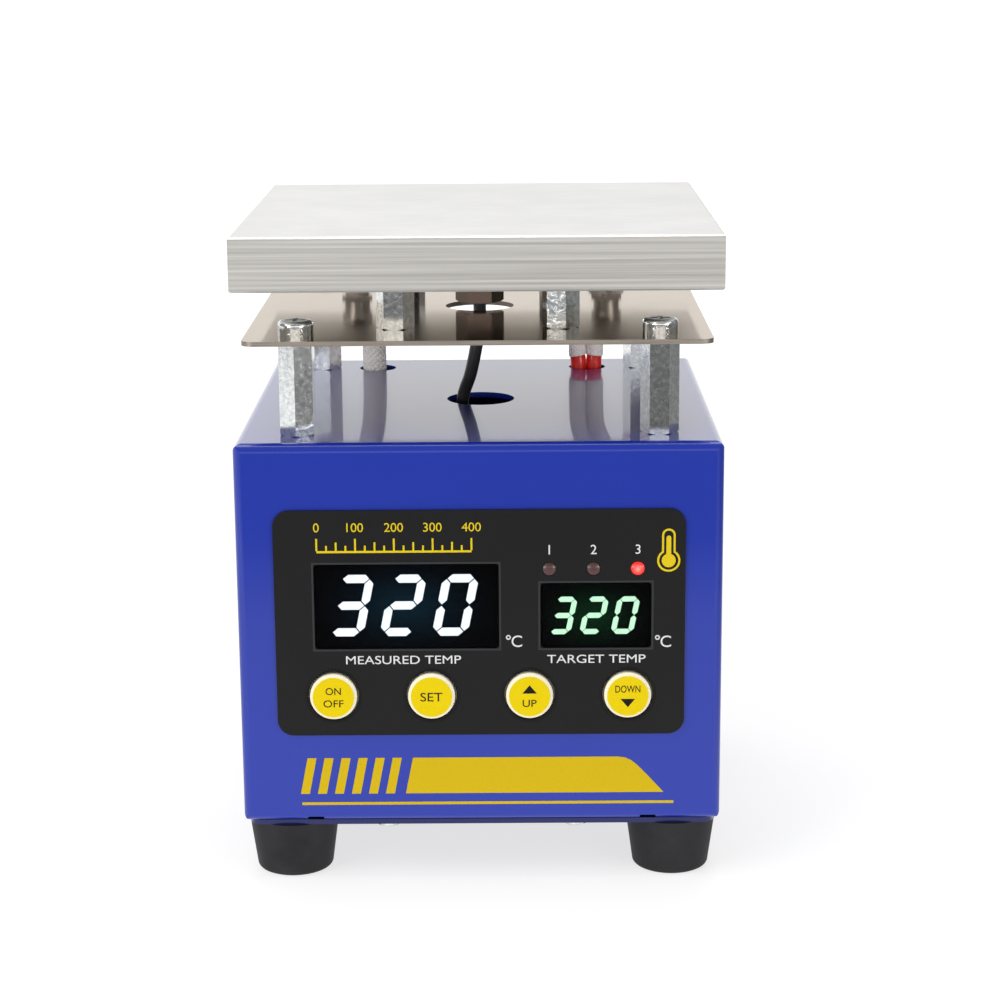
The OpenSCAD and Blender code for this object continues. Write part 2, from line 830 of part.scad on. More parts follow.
module case_rear_cuts() {
    on_rear(0, inlet_z)
        translate([0, 0, -sheet_t - past]) {
            slab(inlet_w + 2 * seat_gap, inlet_h + 2 * seat_gap, sheet_t + 2 * past, inlet_edge_r);
            for (x = [-1, 1])
                translate([x * inlet_screw_pitch / 2, 0])
                    cylinder(h = sheet_t + 2 * past, d = m3_d);
        }
    for (i = [0:rear_vents - 1])
        on_rear((i - (rear_vents - 1) / 2) * vent_pitch, top_z - rear_vent_drop - rear_vent_h / 2)
            translate([0, 0, -sheet_t - past])
                linear_extrude(sheet_t + 2 * past)
                    slot(vent_w, rear_vent_h);
}

module base_plate() {
    color(case_blue) {
        difference() {
            translate([0, 0, foot_h])
                slab(case_w - 2 * base_inset, case_d - 2 * base_inset, base_t, base_r);
            translate([0, 0, foot_h - past]) {
                at_corners(case_w - 2 * foot_inset, case_d - 2 * foot_inset)
                    cylinder(h = base_t + 2 * past, d = m4_d + screw_gap);
                at_corners(2 * base_screw_x, case_d - 2 * base_screw_inset)
                    cylinder(h = base_t + 2 * past, d = m3_d + screw_gap);
                for (i = [0:base_vents - 1])
                    translate([(i - (base_vents - 1) / 2) * vent_pitch, -power_y])
                        linear_extrude(base_t + 2 * past)
                            slot(vent_w, base_vent_l);
                translate([earth_x - earth_w / 2, earth_y + base_t / 2])
                    cube([earth_w, earth_h, base_t + 2 * past]);
            }
        }
        translate([earth_x - earth_w / 2, earth_y - base_t / 2, foot_h])
            cube([earth_w, base_t, base_t + earth_h]);
    }
}

module base_screws() {
    color(zinc_white)
        at_corners(2 * base_screw_x, case_d - 2 * base_screw_inset)
            translate([0, 0, foot_h])
                mirror([0, 0, 1])
                    pan_screw(m3_d, base_screw_l, m3_head_d, m3_head_h);
}

// Tapered rubber foot with a deep screw hole, its edge at the bench rounded
module foot(side_x, side_y) {
    bottom_r = foot_bottom_d / 2;
    arc = [
        for (a = [-90:arc_step:0])
            [bottom_r - foot_edge_r + foot_edge_r * cos(a), foot_edge_r + foot_edge_r * sin(a)]
    ];
    color(rubber_black)
        translate([side_x * (case_w / 2 - foot_inset), side_y * (case_d / 2 - foot_inset), 0])
            difference() {
                rotate_extrude()
                    polygon(concat([[0, 0]], arc, [[foot_top_d / 2, foot_h], [0, foot_h]]));
                translate([0, 0, -past])
                    cylinder(h = foot_h - foot_web + past, d = foot_bore_d);
                cylinder(h = foot_h + past, d = m4_d + screw_gap);
            }
}

module foot_front_left() {
    foot(-1, -1);
}

module foot_front_right() {
    foot(1, -1);
}

module foot_rear_left() {
    foot(-1, 1);
}

module foot_rear_right() {
    foot(1, 1);
}

module foot_screws() {
    color(zinc_white)
        at_corners(case_w - 2 * foot_inset, case_d - 2 * foot_inset)
            translate([0, 0, foot_h - foot_web])
                mirror([0, 0, 1])
                    pan_screw(m4_d, foot_screw_l, m4_head_d, m4_head_h);
}

module foot_nuts() {
    color(zinc_white)
        at_corners(case_w - 2 * foot_inset, case_d - 2 * foot_inset)
            translate([0, 0, floor_z])
                difference() {
                    hex_bar(m4_nut_af, m4_nut_h);
                    translate([0, 0, -past])
                        cylinder(h = m4_nut_h + 2 * past, d = m4_d);
                }
}

module panel_overlay() {
    cut = overlay_t + 2 * past;
    color(panel_black)
        difference() {
            on_front(0, panel_z)
                slab(overlay_w, overlay_h, overlay_t, overlay_r);
            on_front(-main_window_x, main_z)
                translate([0, 0, -past])
                    slab(main_window_w, main_window_h, cut, window_r);
            on_front(preset_window_x, preset_z)
                translate([0, 0, -past])
                    slab(preset_window_w, preset_window_h, cut, window_r);
            for (x = lamp_xs)
                on_front(x, lamp_z)
                    translate([0, 0, -past])
                        cylinder(h = cut, d = lamp_d + screw_gap);
            for (x = key_xs)
                on_front(x, key_z)
                    translate([0, 0, -past])
                        cylinder(h = cut, d = key_d + 2 * key_gap);
        }
}

// Tinted lens set in a window of the overlay, flush with its face
module lens(w, h) {
    color(lens_smoke)
        translate([0, 0, overlay_t - lens_t])
            slab(w - 2 * thread_gap, h - 2 * thread_gap, lens_t, window_r);
}

module main_window() {
    on_front(-main_window_x, main_z)
        lens(main_window_w, main_window_h);
}

module preset_window() {
    on_front(preset_window_x, preset_z)
        lens(preset_window_w, preset_window_h);
}

// Three-digit display block that stands on the control board and fills its cut-out
module display(w, h) {
    color(part_black)
        translate([0, 0, -control_depth])
            slab(w - 2 * seat_gap, h - 2 * seat_gap, control_depth, window_r);
}

module main_display() {
    on_front(-main_window_x, main_z)
        display(main_window_w, main_window_h);
}

module preset_display() {
    on_front(preset_window_x, preset_z)
        display(preset_window_w, preset_window_h);
}

// Round-nosed lamp on two legs that stand on the control board
module channel_lamp(i) {
    nose_r = lamp_d / 2;
    tip = overlay_t + lamp_proud;
    seat = tip - lamp_body_l;
    color(lamp_red)
        on_front(lamp_xs[i], lamp_z) {
            intersection() {
                translate([0, 0, seat])
                    cylinder(h = lamp_body_l, r = nose_r);
                translate([0, 0, tip - lamp_d])
                    sphere(lamp_d);
            }
            translate([0, 0, seat - lamp_rim_t])
                cylinder(h = lamp_rim_t, d = lamp_d + 2 * lamp_rim);
            for (x = [-1, 1])
                translate([x * nose_r - lamp_leg / 2, -lamp_leg / 2, -control_depth])
                    cube([lamp_leg, lamp_leg, control_depth + seat - lamp_rim_t]);
        }
}

module channel_lamp_1() {
    channel_lamp(0);
}

module channel_lamp_2() {
    channel_lamp(1);
}

module channel_lamp_3() {
    channel_lamp(2);
}

// Key: a bevelled cap, the collar that keeps it behind the wall and the stem to its switch
module key(i) {
    cap_r = key_d / 2;
    face = overlay_t + key_proud;
    collar_end = -collar_depth - key_collar_t;
    color(key_yellow)
        on_front(key_xs[i], key_z)
            rotate_extrude()
                polygon([
                    [0, -switch_depth - stem_entry], [key_stem_d / 2, -switch_depth - stem_entry],
                    [key_stem_d / 2, collar_end], [key_collar_d / 2, collar_end],
                    [key_collar_d / 2, -collar_depth], [cap_r, -collar_depth],
                    [cap_r, face - key_bevel], [cap_r - key_bevel, face], [0, face]
                ]);
}

module key_power() {
    key(0);
}

module key_set() {
    key(1);
}

module key_up() {
    key(2);
}

module key_down() {
    key(3);
}

module key_switches() {
    color(part_black)
        for (x = key_xs)
            on_front(x, key_z)
                difference() {
                    translate([-switch_w / 2, -switch_w / 2, -control_depth])
                        cube([switch_w, switch_w, switch_h]);
                    translate([0, 0, -switch_depth - stem_entry - plunger_room])
                        cylinder(h = stem_entry + plunger_room + past, d = key_stem_d + 2 * seat_gap);
                }
}

module control_board() {
    color(board_green)
        on_front(0, panel_z)
            translate([0, 0, -control_depth - pcb_t])
                difference() {
                    translate([-control_w / 2, -control_h / 2])
                        cube([control_w, control_h, pcb_t]);
                    translate([0, 0, -past])
                        at_corners(post_pitch_x, post_pitch_z)
                            cylinder(h = pcb_t + 2 * past, d = m3_d + screw_gap);
                }
}

// Threaded posts welded to the back of the front wall
module control_posts() {
    color(zinc_white)
        on_front(0, panel_z)
            translate([0, 0, -control_depth])
                at_corners(post_pitch_x, post_pitch_z)
                    difference() {
                        cylinder(h = control_gap, d = post_d);
                        translate([0, 0, -past])
                            cylinder(h = control_gap - sheet_t + past, d = m3_d);
                    }
}

module control_screws() {
    color(zinc_white)
        on_front(0, panel_z)
            translate([0, 0, -control_depth - pcb_t])
                at_corners(post_pitch_x, post_pitch_z)
                    mirror([0, 0, 1])
                        pan_screw(m3_d, pcb_t + control_gap / 2, m3_head_d, m3_head_h);
}

module control_chip() {
    color(part_black)
        on_front(0, panel_z)
            translate([-chip_w / 2, -chip_w / 2, -control_depth - pcb_t - chip_t])
                cube([chip_w, chip_w, chip_t]);
}

module plug_headers() {
    color(ceramic_white)
        for (place = [[-sensor_header_x, sensor_header_z], [harness_header_x, harness_header_z]])
            on_front(place.x, place.y)
                translate([-header_w / 2, -header_h / 2, -control_depth - pcb_t - header_d])
                    cube([header_w, header_h, header_d]);
}

module power_board() {
    color(board_green)
        translate([0, -power_y, power_z - pcb_t])
            difference() {
                translate([-power_w / 2, -power_d / 2])
                    cube([power_w, power_d, pcb_t]);
                translate([0, 0, -past])
                    at_corners(power_pitch_x, power_pitch_y)
                        cylinder(h = pcb_t + 2 * past, d = m3_d + screw_gap);
            }
}

module power_pillars() {
    color(zinc_white)
        translate([0, -power_y, floor_z])
            at_corners(power_pitch_x, power_pitch_y)
                difference() {
                    hex_bar(m3_head_d, power_lift);
                    translate([0, 0, base_t])
                        cylinder(h = power_lift, d = m3_d);
                }
}

module power_screws() {
    color(zinc_white)
        translate([0, -power_y, power_z])
            at_corners(power_pitch_x, power_pitch_y)
                pan_screw(m3_d, pcb_t + power_lift / 2, m3_head_d, m3_head_h);
}

// Laminated core with a middle limb between two windows
module transformer_core() {
    window_w = (core_w - 2 * core_limb - core_centre) / 2;
    color(steel_grey)
        translate([core_x, core_y, power_z])
            difference() {
                translate([-core_w / 2, -core_d / 2])
                    cube([core_w, core_d, core_h]);
                for (x = [-1, 1])
                    translate([x * (core_centre + window_w) / 2, 0, core_h / 2])
                        cube([window_w, core_d + 2 * past, core_h - 2 * core_foot], center = true);
            }
}

// Coil wound round the middle limb of the core
module transformer_coil() {
    window_w = (core_w - 2 * core_limb - core_centre) / 2;
    color(copper)
        translate([core_x, core_y, power_z + core_foot + seat_gap])
            linear_extrude(core_h - 2 * core_foot - 2 * seat_gap)
                difference() {
                    round_rect(core_centre + 2 * window_w - 2 * seat_gap, coil_d, window_w / 2);
                    square([core_centre + 2 * seat_gap, core_d + 2 * seat_gap], center = true);
                }
}

// Triac on three legs with its back flat on the heatsink
module heater_triac() {
    color(part_black)
        translate([sink_x, sink_front_y + sink_d, power_z]) {
            translate([-triac_w / 2, 0, triac_lift])
                cube([triac_w, triac_d, triac_h]);
            for (i = [-1:1])
                translate([i * triac_leg_pitch - triac_leg / 2, triac_d / 2 - triac_leg / 2])
                    cube([triac_leg, triac_leg, triac_lift]);
        }
}

module triac_heatsink() {
    step = (sink_w - fin_t) / (sink_fins - 1);
    color(plate_silver)
        translate([sink_x - sink_w / 2, sink_front_y, power_z])
            linear_extrude(sink_h) {
                translate([0, sink_d - sink_plate])
                    square([sink_w, sink_plate]);
                for (i = [0:sink_fins - 1])
                    translate([i * step, 0])
                        square([fin_t, sink_d]);
            }
}

module supply_capacitor() {
    color(part_black)
        translate([capacitor_x, capacitor_y, power_z])
            cylinder(h = capacitor_h, d = capacitor_d);
}

// Glass fuse with its two end caps
module glass_fuse() {
    color(glass_clear)
        translate([fuse_x, fuse_y, power_z + fuse_lift])
            rotate([0, 90, 0]) {
                cylinder(h = fuse_l, d = fuse_d - 2 * fuse_cap_t, center = true);
                for (x = [-1, 1])
                    translate([0, 0, x * (fuse_l - fuse_cap_l) / 2])
                        cylinder(h = fuse_cap_l, d = fuse_d, center = true);
            }
}

// Spring clips that hold the fuse caps, on feet that stand on the board
module fuse_clips() {
    cradle_d = fuse_d + 2 * thread_gap;
    color(brass)
        for (x = [-1, 1])
            translate([fuse_x + x * (fuse_l - fuse_cap_l) / 2, fuse_y, power_z])
                rotate([90, 0, 90])
                    linear_extrude(clip_w, center = true)
                        difference() {
                            union() {
                                translate([0, fuse_lift])
                                    circle(d = cradle_d + 2 * clip_t);
                                translate([-cradle_d / 4, 0])
                                    square([cradle_d / 2, fuse_lift]);
                            }
                            translate([0, fuse_lift])
                                circle(d = cradle_d);
                            translate([-cradle_d, fuse_lift + cradle_d / 4])
                                square(2 * cradle_d);
                        }
}

module terminal_blocks() {
    color(wire_green)
        for (x = terminal_xs)
            translate([x, terminal_y, power_z])
                difference() {
                    translate([-pole_pitch, -terminal_d / 2])
                        cube([2 * pole_pitch, terminal_d, terminal_h]);
                    for (side = [-1, 1])
                        translate([side * pole_pitch / 2, 0, terminal_h - pole_depth])
                            cylinder(h = pole_depth + past, d = pole_d);
                }
}

// Outline of the socket: a rectangle with its two lower corners cut off
module socket_outline() {
    polygon([
        [-socket_w / 2, socket_h / 2], [socket_w / 2, socket_h / 2],
        [socket_w / 2, -socket_h / 2 + socket_bevel], [socket_w / 2 - socket_bevel, -socket_h / 2],
        [-socket_w / 2 + socket_bevel, -socket_h / 2], [-socket_w / 2, -socket_h / 2 + socket_bevel]
    ]);
}

// Places of the three inlet pins on the inlet's face
module at_pins() {
    for (place = [[-pin_pitch / 2, -pin_offset], [pin_pitch / 2, -pin_offset], [0, pin_offset]])
        translate(place)
            children();
}

module mains_inlet() {
    color(part_black)
        on_rear(0, inlet_z)
            difference() {
                union() {
                    slab(inlet_flange_w, inlet_flange_h, inlet_flange_t, inlet_edge_r);
                    translate([0, 0, -inlet_depth])
                        slab(inlet_w, inlet_h, inlet_depth, inlet_edge_r);
                }
                translate([0, 0, inlet_flange_t - socket_depth])
                    linear_extrude(socket_depth + past)
                        socket_outline();
                at_pins()
                    cube(
                        [pin_w + 2 * thread_gap, pin_h + 2 * thread_gap, 2 * (inlet_depth + past)],
                        center = true
                    );
                for (x = [-1, 1])
                    translate([x * inlet_screw_pitch / 2, 0])
                        inlet_screw_shape(screw_gap);
            }
}

module inlet_pins() {
    back = inlet_depth + tab_l;
    front = socket_depth - inlet_flange_t - pin_l;
    color(brass)
        on_rear(0, inlet_z)
            at_pins()
                translate([-pin_w / 2, -pin_h / 2, -back])
                    cube([pin_w, pin_h, back - front]);
}

// Countersunk screw flush with the inlet's flange, or the hole for it where grown
module inlet_screw_shape(grow) {
    sink_h = (m3_head_d - m3_d) / 2;
    shank = m3_d - 2 * thread_gap + grow;
    translate([0, 0, inlet_flange_t - sink_h])
        cylinder(h = sink_h, d1 = shank, d2 = m3_head_d + grow);
    translate([0, 0, -sheet_t - m3_d])
        cylinder(h = sheet_t + m3_d + inlet_flange_t - sink_h, d = shank);
}

module inlet_screws() {
    color(zinc_white)
        on_rear(0, inlet_z)
            for (x = [-1, 1])
                translate([x * inlet_screw_pitch / 2, 0])
                    inlet_screw_shape(0);
}

// Places of the four shield pillars in the order front left, front right, rear left, rear right
function corner_places(pitch_x, pitch_y) = [
    for (y = [-1, 1], x = [-1, 1]) [x * pitch_x / 2, y * pitch_y / 2]
];

module shield_pillars() {
    places = corner_places(pillar_pitch_x, pillar_pitch_y);
    color(zinc_white)
        for (i = [0:3])
            translate([places[i].x, places[i].y, top_z])
                difference() {
                    rotate(pillar_turn[i])
                        hex_bar(hex_af, pillar_h);
                    translate([0, 0, -past])
                        cylinder(h = pillar_h + 2 * past, d = m4_d);
                }
}

module pillar_screws() {
    color(zinc_white)
        at_corners(pillar_pitch_x, pillar_pitch_y)
            translate([0, 0, top_z - sheet_t])
                mirror([0, 0, 1])
                    pan_screw(m4_d, sheet_t + pillar_screw_l, m4_head_d, m4_head_h);
}

module heat_shield() {
    color(steel_grey)
        translate([0, 0, shield_z])
            difference() {
                slab(shield_w, shield_d, shield_t, shield_r);
                translate([0, 0, -past]) {
                    at_corners(pillar_pitch_x, pillar_pitch_y)
                        cylinder(h = shield_t + 2 * past, d = m4_d + screw_gap);
                    at_corners(riser_pitch_x, riser_pitch_y)
                        cylinder(h = shield_t + 2 * past, d = m4_d + screw_gap);
                    translate([0, -sensor_y])
                        cylinder(h = shield_t + 2 * past, d = sensor_hole_d);
                    for (x = [-1, 1])
                        translate([x * shield_lead_x, shield_lead_y])
                            cylinder(h = shield_t + 2 * past, d = shield_lead_d);
                }
            }
}

module shield_screws() {
    color(zinc_white)
        at_corners(pillar_pitch_x, pillar_pitch_y)
            translate([0, 0, shield_z + shield_t])
                pan_screw(m4_d, shield_t + pillar_screw_l, m4_head_d, m4_head_h);
}

// Hex risers with a stud on top that screws into the heating plate
module plate_risers() {
    places = corner_places(riser_pitch_x, riser_pitch_y);
    color(zinc_white)
        for (i = [0:3])
            translate([places[i].x, places[i].y, shield_z + shield_t]) {
                difference() {
                    rotate(riser_turn[i])
                        hex_bar(hex_af, riser_h);
                    translate([0, 0, -past])
                        cylinder(h = riser_screw_l + 2 * past, d = m4_d);
                }
                translate([0, 0, riser_h - hex_bevel])
                    cylinder(h = riser_stud_l + hex_bevel, d = m4_d - 2 * thread_gap);
            }
}

module riser_screws() {
    color(zinc_white)
        at_corners(riser_pitch_x, riser_pitch_y)
            translate([0, 0, shield_z])
                mirror([0, 0, 1])
                    pan_screw(m4_d, shield_t + riser_screw_l, m4_head_d, riser_head_h);
}

module heater_plate() {
    color(plate_silver)
        difference() {
            translate([0, 0, plate_z])
                bevelled_block(plate_w, plate_d, plate_t, plate_bevel);
            translate([0, 0, plate_z - past]) {
                at_corners(riser_pitch_x, riser_pitch_y)
                    cylinder(h = riser_stud_l + seat_gap + past, d = m4_d);
                translate([0, -sensor_y])
                    cylinder(h = sensor_thread_l + seat_gap + past, d = sensor_thread_d);
            }
            element_tube(element_d + 2 * thread_gap);
        }
}

// Sheathed tube in a U: two legs, a cross leg at the front, and both ends turned down
module element_tube(d) {
    half = element_pitch / 2;
    leg_front = element_cross_y + element_bend;
    leg_rear = element_end_y - element_drop_bend;
    translate([0, 0, element_z]) {
        translate([0, element_cross_y])
            rotate([0, 90, 0])
                cylinder(h = 2 * (half - element_bend), d = d, center = true);
        for (x = [-1, 1]) {
            translate([x * half, leg_front])
                rotate([-90, 0, 0])
                    cylinder(h = leg_rear - leg_front, d = d);
            translate([x * (half - element_bend), leg_front])
                rotate(x > 0 ? -90 : 180)
                    rotate_extrude(angle = 90)
                        translate([element_bend, 0])
                            circle(d = d);
            translate([x * half, leg_rear, -element_drop_bend])
                rotate([90, 0, 90])
                    rotate_extrude(angle = 90)
                        translate([element_drop_bend, 0])
                            circle(d = d);
        }
    }
}

// Heating element with an insulating bead and a terminal bar on each end
module heating_element() {
    end_z = element_z - element_drop_bend;
    color(steel_grey) {
        element_tube(element_d);
        for (x = [-1, 1])
            translate([x * element_pitch / 2, element_end_y, end_z]) {
                translate([0, 0, -bead_h])
                    cylinder(h = bead_h, d = bead_d);
                translate([-terminal_bar_w / 2, -terminal_bar_d / 2, -bead_h - terminal_bar_h])
                    cube([terminal_bar_w, terminal_bar_d, terminal_bar_h]);
            }
    }
}

// Screw-in temperature sensor under the middle of the plate
module sensor_body() {
    color(steel_grey)
        translate([0, -sensor_y, plate_z]) {
            translate([0, 0, -sensor_h])
                hex_bar(sensor_af, sensor_h);
            translate([0, 0, -hex_bevel])
                cylinder(h = sensor_thread_l + hex_bevel, d = sensor_thread_d - 2 * thread_gap);
        }
}

module sensor_cable() {
    color(part_black)
        cable(smooth(sensor_route), sensor_cable_r);
}

module heater_lead_left() {
    color(lead_red)
        lead_pair(left_route, bundle_r, bundle_offset);
}

module heater_lead_right() {
    color(lead_red)
        lead_pair(right_route, strand_r, strand_offset);
}

module lead_sleeve_left() {
    color(sleeve_white)
        sleeve(
            between(smooth(left_route), sleeve_top, left_sleeve_end),
            bundle_sleeve_r, bundle_r + bundle_offset + sleeve_gap
        );
}

module lead_sleeve_right() {
    path = smooth(right_route);
    color(sleeve_white)
        for (side = [-1, 1])
            sleeve(
                between(beside(path, side * strand_offset), sleeve_top, right_sleeve_end),
                single_sleeve_r, strand_r + sleeve_gap
            );
}

module live_wire() {
    color(wire_brown)
        cable(smooth(live_route), wire_r);
}

module neutral_wire() {
    color(wire_blue)
        mirror([1, 0, 0])
            cable(smooth(live_route), wire_r);
}

module earth_wire() {
    color(wire_green)
        cable(smooth(earth_route), wire_r);
}

// Flat ribbon from the power board to the control board
module control_harness() {
    path = smooth(harness_route);
    corners = [[-1, -1], [1, -1], [1, 1], [-1, 1]];
    color(steel_grey)
        loft([
            for (i = [0:len(path) - 1]) [
                for (corner = corners)
                    path[i] + corner.x * ribbon_w / 2 * [1, 0, 0]
                    + corner.y * ribbon_t / 2 * cross(heading(path, i), [1, 0, 0])
            ]
        ]);
}

case_shell();
base_plate();
base_screws();
foot_front_left();
foot_front_right();
foot_rear_left();
foot_rear_right();
foot_screws();
foot_nuts();
panel_overlay();
main_window();
preset_window();
main_display();
preset_display();
channel_lamp_1();
channel_lamp_2();
channel_lamp_3();
key_power();
key_set();
key_up();
key_down();
key_switches();
control_board();
control_posts();
control_screws();
control_chip();
plug_headers();
power_board();
power_pillars();
power_screws();
transformer_core();
transformer_coil();
heater_triac();
triac_heatsink();
supply_capacitor();
glass_fuse();
fuse_clips();
terminal_blocks();
mains_inlet();
inlet_pins();
inlet_screws();
shield_pillars();
pillar_screws();
heat_shield();
shield_screws();
plate_risers();
riser_screws();
heater_plate();
heating_element();
sensor_body();
sensor_cable();
heater_lead_left();
heater_lead_right();
lead_sleeve_left();
lead_sleeve_right();
live_wire();
neutral_wire();
earth_wire();
control_harness();
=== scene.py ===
"""Looks of the bench preheater: finishes, lit displays, panel printing, cables, light and camera.

Everything is in metres in the part's own frame: +Z up, and the control panel faces -Y.
"""

import math

import bmesh
import bpy
from mathutils import Matrix, Vector


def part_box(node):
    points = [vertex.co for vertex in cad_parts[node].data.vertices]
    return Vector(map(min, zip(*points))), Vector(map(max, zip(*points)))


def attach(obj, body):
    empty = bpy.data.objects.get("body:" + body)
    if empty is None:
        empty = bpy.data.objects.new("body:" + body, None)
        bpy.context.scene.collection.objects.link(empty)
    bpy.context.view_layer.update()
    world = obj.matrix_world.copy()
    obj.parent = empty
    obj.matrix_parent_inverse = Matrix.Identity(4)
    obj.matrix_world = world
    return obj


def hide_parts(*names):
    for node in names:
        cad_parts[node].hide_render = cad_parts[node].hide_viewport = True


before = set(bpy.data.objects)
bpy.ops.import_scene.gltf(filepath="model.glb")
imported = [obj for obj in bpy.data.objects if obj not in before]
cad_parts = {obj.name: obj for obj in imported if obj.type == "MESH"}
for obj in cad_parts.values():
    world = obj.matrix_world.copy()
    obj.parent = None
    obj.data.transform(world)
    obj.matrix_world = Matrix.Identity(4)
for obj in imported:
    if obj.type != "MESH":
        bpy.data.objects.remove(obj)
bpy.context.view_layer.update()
scene = bpy.context.scene
MM = 0.001
MICRON = 0.000001


# Camera

CAMERA_PLACE = Vector((0.0066, -0.5315, 0.1988))
CAMERA_YAW = math.radians(-0.266)
CAMERA_PITCH = math.radians(13.485)
CAMERA_ROLL = math.radians(0.429)
CAMERA_LENS = 86.83
CAMERA_SENSOR = 36.0
CAMERA_NEAR = 0.01
CAMERA_FAR = 50.0


def place_camera():
    """Puts the camera where the fitted view stands, with no shift and no depth of field."""
    ahead = Vector((
        math.sin(CAMERA_YAW) * math.cos(CAMERA_PITCH),
        math.cos(CAMERA_YAW) * math.cos(CAMERA_PITCH),
        -math.sin(CAMERA_PITCH),
    ))
    right = Vector((math.cos(CAMERA_YAW), -math.sin(CAMERA_YAW), 0.0))
    down = ahead.cross(right)
    image_x = right * math.cos(CAMERA_ROLL) + down * math.sin(CAMERA_ROLL)
    image_y = down * math.cos(CAMERA_ROLL) - right * math.sin(CAMERA_ROLL)
    turn = Matrix((image_x, -image_y, -ahead)).transposed().to_4x4()
    data = bpy.data.cameras.new("view")
    data.lens = CAMERA_LENS
    data.sensor_width = CAMERA_SENSOR
    data.clip_start = CAMERA_NEAR
    data.clip_end = CAMERA_FAR
    camera = bpy.data.objects.new("view", data)
    scene.collection.objects.link(camera)
    camera.matrix_world = Matrix.Translation(CAMERA_PLACE) @ turn
    scene.camera = camera


# Places on the front, measured from the solids

def in_mm(length):
    """A length of the frame in millimetres, to the micrometre."""
    return round(length / MM, 3)


def middle_of(node):
    """Middle of a solid's box: across, along and up."""
    low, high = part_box(node)
    return tuple(in_mm((a + b) / 2) * MM for a, b in zip(low, high))


PANEL_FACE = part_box("panel_overlay")[0].y
CASE_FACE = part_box("case_shell")[0].y
KEY_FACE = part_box("key_power")[0].y
DISPLAY_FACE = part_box("main_display")[0].y
# Print stands an ink's height out of its face and is rooted half as deep in it
INK = 0.04 * MM
INK_ROOT = INK / 2
INK_THICK = INK + INK_ROOT
INK_MIDDLE = INK - INK_THICK / 2
KEYS = ("power_key", "set_key", "up_key", "down_key")
KEY_PITCH = in_mm(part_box("key_set")[0].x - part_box("key_power")[0].x) * MM
KEY_HEIGHT = middle_of("key_power")[2]
KEY_PLACES = [(i - (len(KEYS) - 1) / 2) * KEY_PITCH for i in range(len(KEYS))]
# Inner and outer radius of the ring where a highlight is painted on each key face
KEY_HIGHLIGHT_INNER = 4.28 * MM
KEY_HIGHLIGHT_OUTER = 4.38 * MM
LAMPS = ("channel_lamp_1", "channel_lamp_2", "channel_lamp_3")
LAMP_GLOW_REACH = (1.35 * MM, 6.75 * MM, 1.35 * MM)
LAMP_GLOW_DEPTH = 0.2 * MM
# Reach of the painted glow on each display's face round its digits
MAIN_GLOW_REACH = (21.0 * MM, 12.0 * MM, 12.0 * MM)
PRESET_GLOW_REACH = (13.0 * MM, 9.0 * MM, 9.0 * MM)


def display_point(node, across, up):
    """A point on the face of a display, so far across and up from its middle."""
    x, _, z = middle_of(node)
    return (x + across, DISPLAY_FACE, z + up)


def lamp_heart(node):
    """The brightest point of a lamp, just behind its tip."""
    x, _, z = middle_of(node)
    return (x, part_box(node)[0].y + LAMP_GLOW_DEPTH, z)


# Steps that the finishes are made of

def new_finish(name, colour, roughness, metallic=0.0, **sockets):
    """A material with one shader, its even values set on the shader's own sockets.

    The colour and roughness given are what is left where no pattern drives them.
    """
    material = bpy.data.materials.new(name)
    material.use_nodes = True
    shader = material.node_tree.nodes["Principled BSDF"]
    shader.inputs["Base Color"].default_value = (*colour, 1.0)
    shader.inputs["Roughness"].default_value = roughness
    shader.inputs["Metallic"].default_value = metallic
    for socket, value in sockets.items():
        shader.inputs[socket.replace("_", " ")].default_value = value
    return material


def add_node(material, kind, **settings):
    """Adds a node and sets its properties, and its inputs where a setting names one."""
    node = material.node_tree.nodes.new(kind)
    for name, value in settings.items():
        if hasattr(node, name):
            setattr(node, name, value)
        else:
            node.inputs[name].default_value = value
    return node


def join(material, source, target):
    """Links an output to an input."""
    material.node_tree.links.new(source, target)


def feed(material, name, source):
    """Links an output to a named input of the material's shader."""
    join(material, source, material.node_tree.nodes["Principled BSDF"].inputs[name])


def body_place(material, stretch=(1.0, 1.0, 1.0), offset=(0.0, 0.0, 0.0)):
    """Object coordinates, stretched and moved."""
    place = add_node(material, "ShaderNodeTexCoord")
    mapping = add_node(material, "ShaderNodeMapping", Scale=stretch, Location=offset)
    join(material, place.outputs["Object"], mapping.inputs["Vector"])
    return mapping.outputs["Vector"]


def split(material, vector):
    """The parts of a vector, by the names of its axes."""
    node = add_node(material, "ShaderNodeSeparateXYZ")
    join(material, vector, node.inputs["Vector"])
    return node.outputs


def cloud(material, place, scale, detail=3.0, roughness=0.5):
    """Soft noise from 0 to 1, its scale in spots to the metre."""
    node = add_node(material, "ShaderNodeTexNoise", Scale=scale, Detail=detail, Roughness=roughness)
    join(material, place, node.inputs["Vector"])
    return node.outputs["Fac"]


def bands(material, axis, scale, distortion):
    """Even bands across an axis, from 0 to 1."""
    node = add_node(
        material, "ShaderNodeTexWave", bands_direction=axis, Scale=scale, Distortion=distortion,
    )
    join(material, body_place(material), node.inputs["Vector"])
    return node.outputs["Fac"]


def glow_ball(material, middle, reach):
    """A soft ball, 1 at its middle and 0 at its reach along each axis."""
    stretch = tuple(1 / r for r in reach)
    offset = tuple(-m / r for m, r in zip(middle, reach))
    ball = add_node(material, "ShaderNodeTexGradient", gradient_type="QUADRATIC_SPHERE")
    join(material, body_place(material, stretch, offset), ball.inputs["Vector"])
    return ball.outputs["Fac"]


def remap(material, source, low, high, to_low=0.0, to_high=1.0):
    """Carries a range of values to another range, held at its ends."""
    node = add_node(material, "ShaderNodeMapRange", clamp=True)
    node.inputs["From Min"].default_value = low
    node.inputs["From Max"].default_value = high
    node.inputs["To Min"].default_value = to_low
    node.inputs["To Max"].default_value = to_high
    join(material, source, node.inputs["Value"])
    return node.outputs["Result"]


